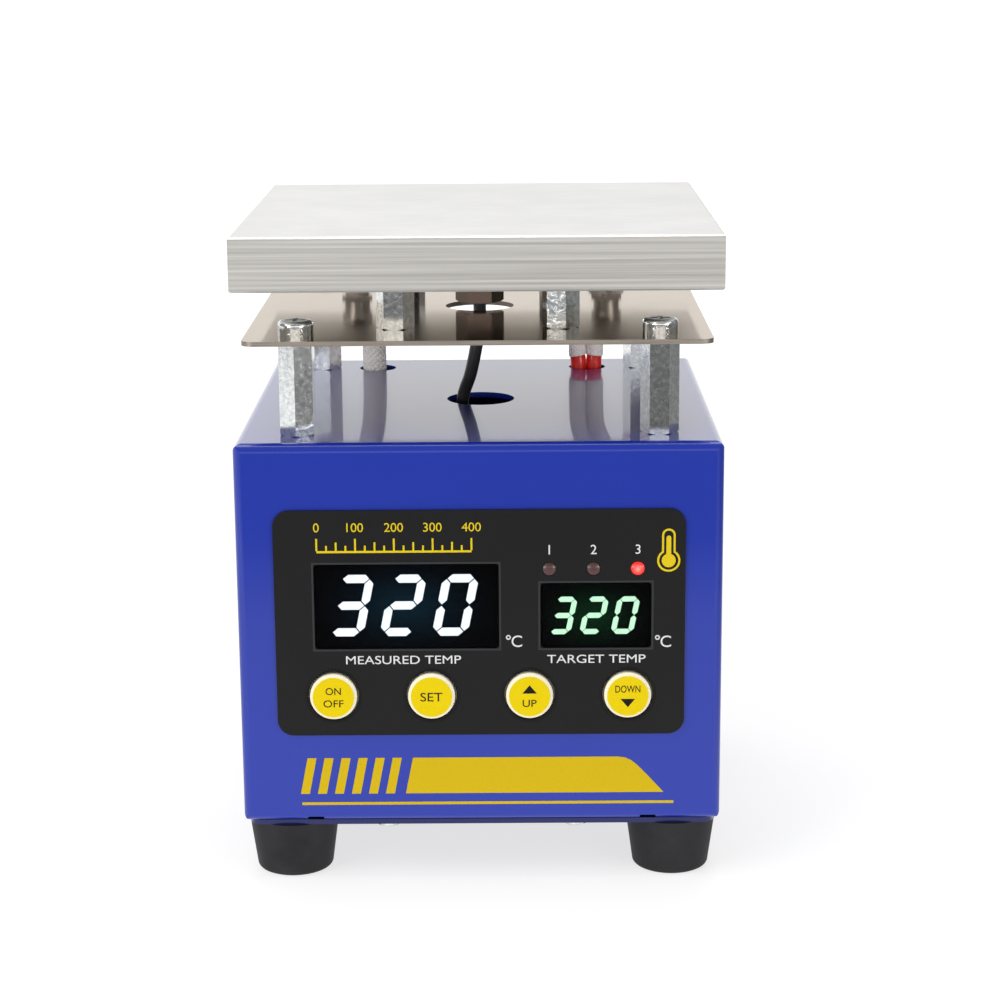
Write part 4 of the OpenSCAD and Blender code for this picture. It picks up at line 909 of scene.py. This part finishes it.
def cable_tree():
    """Round skin along every chain of edges, as thick as each point's girth says, with closed ends."""
    tree = Tree("cable_skin", Radius=1.0 * MM, Sides=20)
    path = tree.add("GeometryNodeMeshToCurve", {"Mesh": tree.given("Geometry")})
    section = tree.add("GeometryNodeCurvePrimitiveCircle", {
        "Radius": tree.given("Radius"), "Resolution": tree.given("Sides"),
    })
    skin = tree.add("GeometryNodeCurveToMesh", {
        "Curve": path.outputs["Curve"], "Profile Curve": section.outputs["Curve"],
        "Scale": tree.mark("girth"),
    }, **{"Fill Caps": True})
    smooth = tree.add("GeometryNodeSetShadeSmooth", {"Geometry": skin.outputs["Mesh"]})
    return tree.close(smooth.outputs["Geometry"])


def screw_tree():
    """Countersunk screws on points, facing the rear, with a cross recess in each flat head."""
    tree = Tree(
        "cross_screws", Head=5.5 * MM, Shank=2.9 * MM, Sink=1.3 * MM, Length=4.0 * MM,
        Arm=3.2 * MM, Slot=0.8 * MM,
    )
    first_depth, second_depth = 1.4, 1.3
    shank_in_head, shank_play = 0.2, 0.98
    sink, length = tree.given("Sink"), tree.given("Length")
    half_head = tree.compute("MULTIPLY", tree.given("Head"), 0.5)
    half_shank = tree.compute("MULTIPLY", tree.given("Shank"), 0.5)
    head = tree.add("GeometryNodeMeshCone", {
        "Radius Top": half_head, "Radius Bottom": half_shank, "Depth": sink,
    }, Vertices=48)
    face = tree.vector(Z=sink)
    recess = tree.add("GeometryNodeMeshBoolean", {"Mesh 1": head.outputs["Mesh"]}, operation="DIFFERENCE")
    for long_side, short_side, depth in (("X", "Y", first_depth), ("Y", "X", second_depth)):
        deep = tree.compute("MULTIPLY", sink, depth)
        size = tree.vector(**{long_side: tree.given("Arm"), short_side: tree.given("Slot"), "Z": deep})
        block = tree.add("GeometryNodeMeshCube", {"Size": size})
        cut = tree.add("GeometryNodeTransform", {"Geometry": block.outputs["Mesh"], "Translation": face})
        tree.group.links.new(cut.outputs["Geometry"], recess.inputs["Mesh 2"])
    shank = tree.add("GeometryNodeMeshCylinder", {
        "Radius": tree.compute("MULTIPLY", half_shank, shank_play), "Depth": length,
    }, Vertices=24)
    middle = tree.compute(
        "SUBTRACT", tree.compute("MULTIPLY", sink, shank_in_head), tree.compute("MULTIPLY", length, 0.5),
    )
    lowered = tree.add("GeometryNodeTransform", {
        "Geometry": shank.outputs["Mesh"], "Translation": tree.vector(Z=middle),
    })
    whole = tree.add("GeometryNodeJoinGeometry", {"Geometry": recess.outputs["Mesh"]})
    tree.group.links.new(lowered.outputs["Geometry"], whole.inputs["Geometry"])
    return tree.close(tree.on_points(whole.outputs["Geometry"], Rotation=(-math.pi / 2, 0.0, 0.0)))


SEGMENTS = segment_tree()
BARS = bar_tree()
RINGS = ring_tree()
CABLES = cable_tree()
SCREWS = screw_tree()


def grow(name, points, tree, edges=(), marks=None, **values):
    """Runs a node tree on points or chains of points and keeps the result as a plain mesh."""
    seed = bpy.data.meshes.new(name)
    seed.from_pydata([tuple(p) for p in points], list(edges), [])
    for label, numbers in (marks or {}).items():
        seed.attributes.new(label, "FLOAT", "POINT").data.foreach_set("value", numbers)
    piece = bpy.data.objects.new(name, seed)
    scene.collection.objects.link(piece)
    step = piece.modifiers.new("grow", "NODES")
    step.node_group = tree
    for item in tree.interface.items_tree:
        if item.in_out == "INPUT" and item.name in values:
            step[item.identifier] = values[item.name]
    bpy.context.view_layer.update()
    seen = piece.evaluated_get(bpy.context.evaluated_depsgraph_get())
    made = bpy.data.meshes.new_from_object(seen)
    piece.modifiers.clear()
    piece.data = made
    bpy.data.meshes.remove(seed)
    made.name = name
    return piece


def fasten(piece, slot, *stands_for, body="case"):
    """Lets a piece ride on a body and hides the solids that it stands for; its slot is not used."""
    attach(piece, body)
    if stands_for:
        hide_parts(*stands_for)
    return piece


# Lit digits

DIGITS = "320"
DIGIT_SLANT = math.tan(math.radians(11.5))
SEGMENT_GAP = 0.2
LIT = {"0": "abcdef", "2": "abdeg", "3": "abcdg"}
# Segments a to g of a digit: middle across and up in half widths and half heights, and upright or not
SEGMENT_PLACES = {
    "a": (0, 1, 0), "b": (1, 0.5, 1), "c": (1, -0.5, 1), "d": (0, -1, 0),
    "e": (-1, -0.5, 1), "f": (-1, 0.5, 1), "g": (0, 0, 0),
}


def digit_row(name, middle, pitch, width, height, stroke, finish):
    """A row of lit seven-segment digits round a point on the face of a display."""
    middle_x, face, middle_z = middle
    points, turns = [], []
    for place, digit in enumerate(DIGITS):
        x0 = middle_x + (place - (len(DIGITS) - 1) / 2) * pitch
        for segment in LIT[digit]:
            across, up, upright = SEGMENT_PLACES[segment]
            points.append((x0 + across * width / 2, face - INK, middle_z + up * height / 2))
            turns.append(upright * math.pi / 2)
    row = grow(
        name, points, SEGMENTS, marks={"turn": turns}, Length=width - SEGMENT_GAP * stroke, Width=stroke,
        Thickness=2 * INK, Slant=DIGIT_SLANT, Base=middle_z, Material=FINISH[finish],
    )
    fasten(row, "display_black")


def light_displays():
    """Digits of both displays."""
    digit_row(
        "main_digits", display_point("main_display", -0.7 * MM, 0.15 * MM), finish="white_light",
        pitch=10.85 * MM, width=5.75 * MM, height=11.5 * MM, stroke=1.75 * MM,
    )
    digit_row(
        "preset_digits", display_point("preset_display", -0.35 * MM, -0.15 * MM), finish="green_light",
        pitch=6.5 * MM, width=3.6 * MM, height=7.0 * MM, stroke=1.1 * MM,
    )


# Printing

def add_prism(bm, outline, face):
    """Adds a flat printed shape, given by points across and up, standing out of a face."""
    back = [bm.verts.new((x, face + INK_ROOT, z)) for x, z in outline]
    front = [bm.verts.new((x, face - INK, z)) for x, z in outline]
    faces = [bm.faces.new(back), bm.faces.new(front)]
    for i in range(len(outline)):
        j = (i + 1) % len(outline)
        faces.append(bm.faces.new((back[i], back[j], front[j], front[i])))
    bmesh.ops.recalc_face_normals(bm, faces=faces)


def add_band(bm, outer, inner, face):
    """Adds a flat printed band between two outlines of as many points."""
    rows = [
        [bm.verts.new((x, y, z)) for x, z in line]
        for y in (face + INK_ROOT, face - INK) for line in (outer, inner)
    ]
    back_outer, back_inner, front_outer, front_inner = rows
    round_trip = (front_outer, front_inner, back_inner, back_outer, front_outer)
    faces = []
    for i in range(len(outer)):
        j = (i + 1) % len(outer)
        for a, b in zip(round_trip, round_trip[1:]):
            faces.append(bm.faces.new((a[i], a[j], b[j], b[i])))
    bmesh.ops.recalc_face_normals(bm, faces=faces)


def add_words(bm, words, x, z, height, face, width=None):
    """Adds raised lettering of a height, its middle at a place on a face, drawn to a width if given."""
    curve = bpy.data.curves.new("words", "FONT")
    curve.body = words
    curve.align_x = "CENTER"
    curve.extrude = 0.5
    curve.resolution_u = 6
    holder = bpy.data.objects.new("words", curve)
    scene.collection.objects.link(holder)
    bpy.context.view_layer.update()
    mesh = bpy.data.meshes.new_from_object(holder.evaluated_get(bpy.context.evaluated_depsgraph_get()))
    ys = [v.co.y for v in mesh.vertices]
    xs = [v.co.x for v in mesh.vertices]
    tall = height / (max(ys) - min(ys))
    wide = tall if width is None else width / (max(xs) - min(xs))
    middle_y = (max(ys) + min(ys)) / 2
    middle_x = (max(xs) + min(xs)) / 2
    for v in mesh.vertices:
        out = -INK if v.co.z > 0 else INK_ROOT
        v.co = (x + (v.co.x - middle_x) * wide, face + out, z + (v.co.y - middle_y) * tall)
    bm.from_mesh(mesh)
    bpy.data.objects.remove(holder)
    bpy.data.curves.remove(curve)
    bpy.data.meshes.remove(mesh)


def keep_print(name, bm, finish, slot, body="case"):
    """Turns collected printing into a piece that rides on a body."""
    bmesh.ops.remove_doubles(bm, verts=bm.verts, dist=0.1 * MICRON)
    mesh = bpy.data.meshes.new(name)
    bm.to_mesh(mesh)
    bm.free()
    mesh.materials.append(FINISH[finish])
    piece = bpy.data.objects.new(name, mesh)
    scene.collection.objects.link(piece)
    fasten(piece, slot, body=body)


def box_outline(left, right, low, high):
    """Corners of a box across and up."""
    return [(left, low), (right, low), (right, high), (left, high)]


def arc(x, z, radius, start, end, steps):
    """Points of an arc, angles in degrees."""
    angles = [math.radians(start + (end - start) * i / steps) for i in range(steps + 1)]
    return [(x + radius * math.cos(a), z + radius * math.sin(a)) for a in angles]


def ring(x, z, radius, sides=24):
    """Points of a full circle."""
    return arc(x, z, radius, 0, 360 - 360 / sides, sides - 1)


def thermometer_outline(x, z, bulb, tube, top):
    """Outline of a thermometer: a bulb and a round-ended tube above it."""
    bulb_steps, cap_steps = 28, 14
    open_angle = math.degrees(math.asin(tube / bulb))
    around = arc(x, z, bulb, 90 + open_angle, 450 - open_angle, bulb_steps)
    cap = arc(x, top - tube, tube, 0, 180, cap_steps)
    return around + cap


def add_degree_sign(bm, x, z):
    """A small ring and the letter C."""
    ring_x, ring_z = x - 1.0 * MM, z + 0.85 * MM
    outer, inner = 0.52 * MM, 0.26 * MM
    letter_shift, letter_tall = 0.75 * MM, 2.5 * MM
    add_words(bm, "C", x + letter_shift, z, letter_tall, PANEL_FACE)
    add_band(bm, ring(ring_x, ring_z, outer), ring(ring_x, ring_z, inner), PANEL_FACE)


def print_captions():
    """White words under the displays, degree signs beside them and numbers over the lamps."""
    caption_z, caption_tall = 49.2 * MM, 1.8 * MM
    number_rise, number_tall = 4.15 * MM, 2.0 * MM
    white = bmesh.new()
    add_words(white, "MEASURED TEMP", -16.0 * MM, caption_z, caption_tall, PANEL_FACE, 24.0 * MM)
    add_words(white, "TARGET TEMP", 24.2 * MM, caption_z, caption_tall, PANEL_FACE, 20.5 * MM)
    add_degree_sign(white, 6.9 * MM, 53.1 * MM)
    add_degree_sign(white, 37.9 * MM, 52.9 * MM)
    for number, lamp in enumerate(LAMPS, 1):
        x, _, z = middle_of(lamp)
        add_words(white, str(number), x, z + number_rise, number_tall, PANEL_FACE)
    keep_print("panel_white_print", white, "white_ink", "panel_black")


def print_window_frames():
    """Grey line round each display window."""
    outer, inner = 0.5 * MM, 0.12 * MM
    frames = bmesh.new()
    for node in ("main_window", "preset_window"):
        low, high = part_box(node)
        lines = [
            box_outline(low.x - out, high.x + out, low.z - out, high.z + out) for out in (outer, inner)
        ]
        add_band(frames, *lines, PANEL_FACE)
    keep_print("window_frames", frames, "grey_ink", "panel_black")


def add_thermometer(bm):
    """Thermometer sign at the panel's right edge: an outline and its filling."""
    x, z = 39.1 * MM, 70.3 * MM
    bulb, tube, top = 2.4 * MM, 1.4 * MM, 77.1 * MM
    line = 0.42 * MM
    filled_bulb, filled_tube, filled_top = 1.45 * MM, 0.5 * MM, 75.6 * MM
    outer = thermometer_outline(x, z, bulb, tube, top)
    inner = thermometer_outline(x, z, bulb - line, tube - line, top - line)
    add_band(bm, outer, inner, PANEL_FACE)
    add_prism(bm, thermometer_outline(x, z, filled_bulb, filled_tube, filled_top), PANEL_FACE)


def print_scale():
    """Yellow scale of numbers over the main display, with the thermometer sign."""
    left, right, base = -33.6 * MM, -1.6 * MM, 72.3 * MM
    line, tick_w = 0.45 * MM, 0.38 * MM
    numbers, number_step = 5, 100
    number_rise, number_tall = 5.4 * MM, 1.9 * MM
    ticks = 17
    long_tick, middle_tick, short_tick = 2.6 * MM, 1.8 * MM, 1.1 * MM
    yellow = bmesh.new()
    add_prism(yellow, box_outline(left, right, base, base + line), PANEL_FACE)
    for i in range(numbers):
        x = left + (right - left) * i / (numbers - 1)
        add_words(yellow, str(i * number_step), x, base + number_rise, number_tall, PANEL_FACE)
    add_thermometer(yellow)
    keep_print("panel_yellow_print", yellow, "yellow_ink", "panel_black")

    points, heights = [], []
    for i in range(ticks):
        tall = long_tick if i % 4 == 0 else middle_tick if i % 2 == 0 else short_tick
        x = left + (right - left) * i / (ticks - 1)
        points.append((x, PANEL_FACE - INK_MIDDLE, base + line + tall / 2))
        heights.append(tall)
    scale = grow(
        "panel_scale_ticks", points, BARS, marks={"tall": heights}, Width=tick_w, Thickness=INK_THICK,
        Material=FINISH["yellow_ink"],
    )
    fasten(scale, "panel_black")


def print_key_surrounds():
    """Black ring round each key's hole."""
    rings = grow(
        "key_surrounds", [(x, PANEL_FACE - INK_MIDDLE, KEY_HEIGHT) for x in KEY_PLACES], RINGS,
        Radius=5.65 * MM, Width=0.6 * MM, Thickness=INK_THICK, Material=FINISH["black_ink"],
    )
    fasten(rings, "panel_black")


def print_case():
    """Plain gold bar, slanted stripes and pinstripe low on the case front."""
    low, high = 19.5 * MM, 27.45 * MM
    bar_left, bar_top_left = -16.0 * MM, -14.4 * MM
    # Right end of the bar: millimetres across and share of the bar's height
    bar_end = ((38.5, 0), (36.7, 0.25), (34.9, 0.5), (33.0, 0.75), (31.7, 0.89), (30.4, 0.97), (28.8, 1))
    rule_left, rule_right, rule_z, half_rule = -38.0 * MM, 40.6 * MM, 17.3 * MM, 0.3 * MM
    stripes, stripe_left, stripe_pitch, stripe_w = 6, -36.5 * MM, 3.6 * MM, 1.9 * MM
    stripe_slant = 0.2
    gold = bmesh.new()
    bar = [(x * MM, low + (high - low) * rise) for x, rise in bar_end]
    add_prism(gold, bar + [(bar_top_left, high), (bar_left, low)], CASE_FACE)
    add_prism(gold, box_outline(rule_left, rule_right, rule_z - half_rule, rule_z + half_rule), CASE_FACE)
    keep_print("case_gold_print", gold, "gold_ink", "case_paint")
    middle = (low + high) / 2
    places = [(stripe_left + i * stripe_pitch, CASE_FACE - INK_MIDDLE, middle) for i in range(stripes)]
    row = grow(
        "case_gold_stripes", places, BARS, marks={"tall": [high - low] * stripes}, Width=stripe_w,
        Thickness=INK_THICK, Slant=stripe_slant, Base=middle, Material=FINISH["gold_ink"],
    )
    fasten(row, "case_paint")


# Words on each key: how far over the key's middle, letter height and width
KEY_WORDS = {
    "power_key": (("ON", 1.35 * MM, 1.55 * MM, 3.2 * MM), ("OFF", -1.35 * MM, 1.55 * MM, 4.2 * MM)),
    "set_key": (("SET", 0.0, 1.9 * MM, 4.6 * MM),),
    "up_key": (("UP", -1.5 * MM, 1.55 * MM, 2.9 * MM),),
    "down_key": (("DOWN", 1.5 * MM, 1.55 * MM, 5.2 * MM),),
}
# Arrows on the keys: how far over the key's middle, and which way they point
KEY_ARROWS = {"up_key": (1.5 * MM, 1), "down_key": (-1.5 * MM, -1)}


def add_arrow(bm, x, z, way):
    """Adds an arrow head that points up or down."""
    half_w, tail, tip = 1.5 * MM, 0.85 * MM, 0.95 * MM
    add_prism(bm, [(x - half_w, z - way * tail), (x + half_w, z - way * tail), (x, z + way * tip)], KEY_FACE)


def print_keys():
    """Legends on the key faces, each riding on its own key."""
    for key, x in zip(KEYS, KEY_PLACES):
        legend = bmesh.new()
        if key in KEY_ARROWS:
            rise, way = KEY_ARROWS[key]
            add_arrow(legend, x, KEY_HEIGHT + rise, way)
        for words, rise, tall, wide in KEY_WORDS[key]:
            add_words(legend, words, x, KEY_HEIGHT + rise, tall, KEY_FACE, wide)
        keep_print(key + "_legend", legend, "black_ink", "key_yellow", key)


# Cables, with their heights, routes and radii in millimetres

TOP = in_mm(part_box("case_shell")[1].z)
SENSOR_END = in_mm(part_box("sensor_body")[0].z)
BOARD = in_mm(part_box("power_board")[1].z)
POLE = 28.0
HEADER = 56.0
LEAD_END = 120.0
NECK_START = 0.5
NECK_RUN = 0.3
NECK_LOSS = 0.6
SQUEEZE = 0.1
SLEEVE_TOP = 119.98
SLEEVE_END = 98.1
LEFT_SLEEVE_END = 90.1
SLEEVE_SPREAD = 1.0
SENSOR_RADIUS = 1.4
# Offset of a lead's strands from its middle, and their radius
LEADS = {"left": (1.2, 1.08), "right": (2.05, 1.83)}
MAINS_RADIUS = 1.2
RIBBON_WIRES = 5
RIBBON_PITCH = 1.2
RIBBON_FUSE = 1.04
STEPS = 10


def above_top(share):
    """Height at a share of the way from the case top to the sensor's end."""
    return TOP + share * (SENSOR_END - TOP)


def below_top(share):
    """Height at a share of the way from the case top down to the terminals' poles."""
    return TOP - share * (TOP - POLE)


def above_board(share):
    """Height at a share of the way from the power board to the control board's header."""
    return BOARD + share * (HEADER - BOARD)


ROUTES = {
    "sensor": [
        (0, -4, SENSOR_END), (0, -4, above_top(0.85)), (-0.3, -4, above_top(0.7)),
        (-0.9, -4, above_top(0.53)), (-2.2, -3, above_top(0.26)), (-3.8, -1.5, above_top(0.04)),
        (-4.5, -1.5, below_top(0.08)), (-4.5, -8, below_top(0.23)), (-4.5, -19.7, 74),
        (-4.5, -27.7, 72), (-4.5, -32.7, 72),
    ],
    "left": [
        (-29.5, 36, LEAD_END), (-29.5, 36, LEAD_END - 1.5), (-28.2, 36.5, above_top(0.93)),
        (-26.4, 37, above_top(0.66)), (-25.8, 37, above_top(0.35)), (-25.7, 37, TOP),
        (-25, 36.5, below_top(0.14)), (-18, 31, below_top(0.28)), (-4, 22, below_top(0.42)),
        (11, 15, below_top(0.55)), (18, 14, below_top(0.67)), (19.46, 14, below_top(0.79)),
        (19.46, 14, below_top(0.91)), (19.46, 14, POLE),
    ],
    "right": [
        (29.5, 36, LEAD_END), (29.5, 36, LEAD_END - 1.5), (28, 36.5, above_top(0.93)),
        (25.3, 37, above_top(0.66)), (24.8, 37, above_top(0.35)), (24.8, 37, TOP),
        (25, 36.5, below_top(0.14)), (27, 30, below_top(0.28)), (27, 22, below_top(0.46)),
        (26, 16, below_top(0.61)), (24.54, 14, below_top(0.76)), (24.54, 14, below_top(0.91)),
        (24.54, 14, POLE),
    ],
    "live": [
        (-7, 19, 36), (-7, 17.5, 36), (-5.6, 15.5, 35.4), (-3.2, 14.2, 34), (-2.54, 14, 31),
        (-2.54, 14, 28),
    ],
    "ribbon": [
        (31.5, -12, BOARD), (31.5, -12, above_board(0.3)), (31.5, -13, above_board(0.65)),
        (31.5, -18.7, above_board(0.92)), (31.5, -25.7, HEADER), (31.5, -32.7, HEADER),
    ],
    "earth": [
        (0, 19, 40), (0, 16.5, 40), (-2.5, 13.5, 42), (-9, 13.5, 42.5), (-16, 19, 38),
        (-22, 27, 31.3), (-24, 31, 24.3), (-24, 31, 21.3),
    ],
}


def smooth_path(route):
    """Path in metres through a route's points, its first and last stretches straight."""
    points = [Vector(p) * MM for p in route]
    path = [points[0]]
    for i in range(1, len(points) - 2):
        a, b, c, d = points[i - 1:i + 3]
        for k in range(STEPS):
            s = k / STEPS
            path.append(b + s / 2 * (c - a + s * (2 * a - 5 * b + 4 * c - d + s * (3 * (b - c) + d - a))))
    return path + points[-2:]


def headings(path):
    """Direction of a path at each of its points."""
    last = len(path) - 1
    return [(path[min(i + 1, last)] - path[max(i - 1, 0)]).normalized() for i in range(last + 1)]


def sideways(path):
    """A direction square to the path at each point, carried along without twist."""
    side, sides = Vector((1.0, 0.0, 0.0)), []
    for t in headings(path):
        side = (side - side.dot(t) * t).normalized()
        sides.append(side)
    return sides


def ramp(value):
    """A value held between 0 and 1."""
    return min(max(value, 0), 1)


def necks(path):
    """Share of its full size that a lead keeps at each point of its path."""
    last = len(path) - 1
    return [1 - NECK_LOSS * ramp((i / last - NECK_START) / NECK_RUN) for i in range(last + 1)]


def squeeze(height):
    """Share of its offset that a strand keeps where a pair draws together below its sleeves."""
    return 1 - SQUEEZE * ramp((SLEEVE_END - height) / SLEEVE_SPREAD)


def beside(path, offset):
    """Path off to one side of another, drawn in below the sleeves and where the lead thins."""
    return [
        p + s * offset * neck * squeeze(p.z / MM)
        for p, s, neck in zip(path, sideways(path), necks(path))
    ]


def between(path, high, low):
    """The part of a falling path between two heights, cut at them exactly."""
    high, low = high * MM, low * MM
    part = []
    for a, b in zip(path, path[1:]):
        for level in (high, low):
            if a.z > level >= b.z:
                part.append(a.lerp(b, (a.z - level) / (a.z - b.z)))
        if low < b.z < high:
            part.append(b)
    return part


def fine(path, spacing):
    """A path with points no further apart than a spacing."""
    out = []
    for a, b in zip(path, path[1:]):
        count = max(1, math.ceil((b - a).length / spacing))
        out += [a.lerp(b, k / count) for k in range(count)]
    return out + [path[-1]]


def chain(count, start=0):
    """Edges that join points in a row."""
    return [(start + i, start + i + 1) for i in range(count - 1)]


def lay_skin(name, points, edges, radius, sides, finish, girths=None):
    """A round skin of a radius in metres along chains of points, of even girth if none is given."""
    return grow(
        name, points, CABLES, edges, {"girth": girths or [1.0] * len(points)},
        Radius=radius, Sides=sides, Material=FINISH[finish],
    )


def lay_cable(name, path, radius, finish, node, girths=None, sides=20):
    """A smooth cable along a path, in place of its plain solid."""
    cable = lay_skin(name, path, chain(len(path)), radius * MM, sides, finish, girths)
    return fasten(cable, finish, node)


def braid_yarns(path, radius, yarns, pitch, wave):
    """Chains of points for yarns that wind both ways round a path and pass over and under each other."""
    sides, ways = sideways(path), headings(path)
    length = [0.0]
    for a, b in zip(path, path[1:]):
        length.append(length[-1] + (b - a).length)
    points, edges = [], []
    for hand in (1, -1):
        for yarn in range(yarns):
            edges += chain(len(path), len(points))
            for p, side, way, s in zip(path, sides, ways, length):
                angle = 2 * math.pi * (yarn / yarns + hand * s / pitch)
                lift = wave * hand * math.cos(2 * math.pi * yarns * s / pitch)
                out = side * math.cos(angle) + way.cross(side) * math.sin(angle)
                points.append(p + out * (radius + lift))
    return points, edges


def lay_sleeve(name, node, paths, core, yarn, yarns, pitch):
    """A braided sleeve: a thin core tube under crossing yarns, with core and yarn as radii."""
    wave, yarn_sides, core_sides = 0.35, 6, 24
    points, edges = [], []
    for path in paths:
        more, links = braid_yarns(path, core, yarns, pitch, yarn * wave)
        edges += [(a + len(points), b + len(points)) for a, b in links]
        points += more
    fasten(lay_skin(name, points, edges, yarn, yarn_sides, "braided_fibre"), "sleeve_fibre", node)
    for i, path in enumerate(paths):
        tube = lay_skin(f"{name}_core_{i + 1}", path, chain(len(path)), core, core_sides, "braided_fibre")
        fasten(tube, "sleeve_fibre")


def lay_cables():
    """Sensor cable, heater leads in their sleeves, and the mains wires inside."""
    sensor = smooth_path(ROUTES["sensor"])
    cable = lay_cable("sensor_cable_smooth", sensor, SENSOR_RADIUS, "cable_black", "sensor_cable")

    middles = {name: smooth_path(ROUTES[name]) for name in LEADS}
    for side, label in ((-1, "a"), (1, "b")):
        for name, (offset, radius) in LEADS.items():
            strand = beside(middles[name], side * offset * MM)
            lead = lay_cable(
                f"lead_{name}_{label}", strand, radius, "lead_red", "heater_lead_" + name,
                girths=necks(middles[name]),
            )

    both = between(middles["left"], SLEEVE_TOP, LEFT_SLEEVE_END)
    lay_sleeve(
        "sleeve_left", "lead_sleeve_left", [fine(both, spacing=0.22 * MM)],
        core=2.45 * MM, yarn=0.3 * MM, yarns=12, pitch=16 * MM,
    )
    apart = [beside(middles["right"], side * LEADS["right"][0] * MM) for side in (-1, 1)]
    lay_sleeve(
        "sleeve_right", "lead_sleeve_right",
        [fine(between(strand, SLEEVE_TOP, SLEEVE_END), spacing=0.2 * MM) for strand in apart],
        core=1.93 * MM, yarn=0.12 * MM, yarns=11, pitch=11 * MM,
    )

    live = smooth_path(ROUTES["live"])
    mains = {
        "live_wire": (live, "wire_brown"),
        "neutral_wire": ([Vector((-p.x, p.y, p.z)) for p in live], "wire_blue"),
        "earth_wire": (smooth_path(ROUTES["earth"]), "wire_green"),
    }
    for node, (path, finish) in mains.items():
        lay_cable(node + "_smooth", path, MAINS_RADIUS, finish, node, sides=14)


def lay_ribbon():
    """Ribbon of joined wires from the power board up to the control board."""
    middle = smooth_path(ROUTES["ribbon"])
    points, edges = [], []
    for i in range(RIBBON_WIRES):
        edges += chain(len(middle), len(points))
        across = Vector(((i - (RIBBON_WIRES - 1) / 2) * RIBBON_PITCH * MM, 0.0, 0.0))
        points += [p + across for p in middle]
    wire = RIBBON_FUSE * RIBBON_PITCH / 2 * MM
    ribbon = lay_skin("control_ribbon", points, edges, radius=wire, sides=12, finish="ribbon_grey")
    fasten(ribbon, "ribbon_grey", "control_harness")


# Screws of the mains inlet

INLET_SHANK = 2.9 * MM


def set_inlet_screws():
    """Countersunk screws with a cross recess, where the plain ones stand."""
    low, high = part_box("inlet_screws")
    head = high.z - low.z
    sink = (head - INLET_SHANK) / 2
    half_pitch = (high.x - low.x - head) / 2
    seat = high.y - sink
    places = [(side * half_pitch, seat, (low.z + high.z) / 2) for side in (-1, 1)]
    screws = grow(
        "inlet_cross_screws", places, SCREWS, Head=head, Shank=INLET_SHANK, Sink=sink,
        Length=seat - low.y, Material=FINISH["bright_zinc"],
    )
    fasten(screws, "zinc", "inlet_screws")


place_camera()
lay_cables()
lay_ribbon()
set_inlet_screws()
dress_nodes()
light_displays()
print_captions()
print_window_frames()
print_scale()
print_key_surrounds()
print_case()
print_keys()
lay_papers()
light_stage()
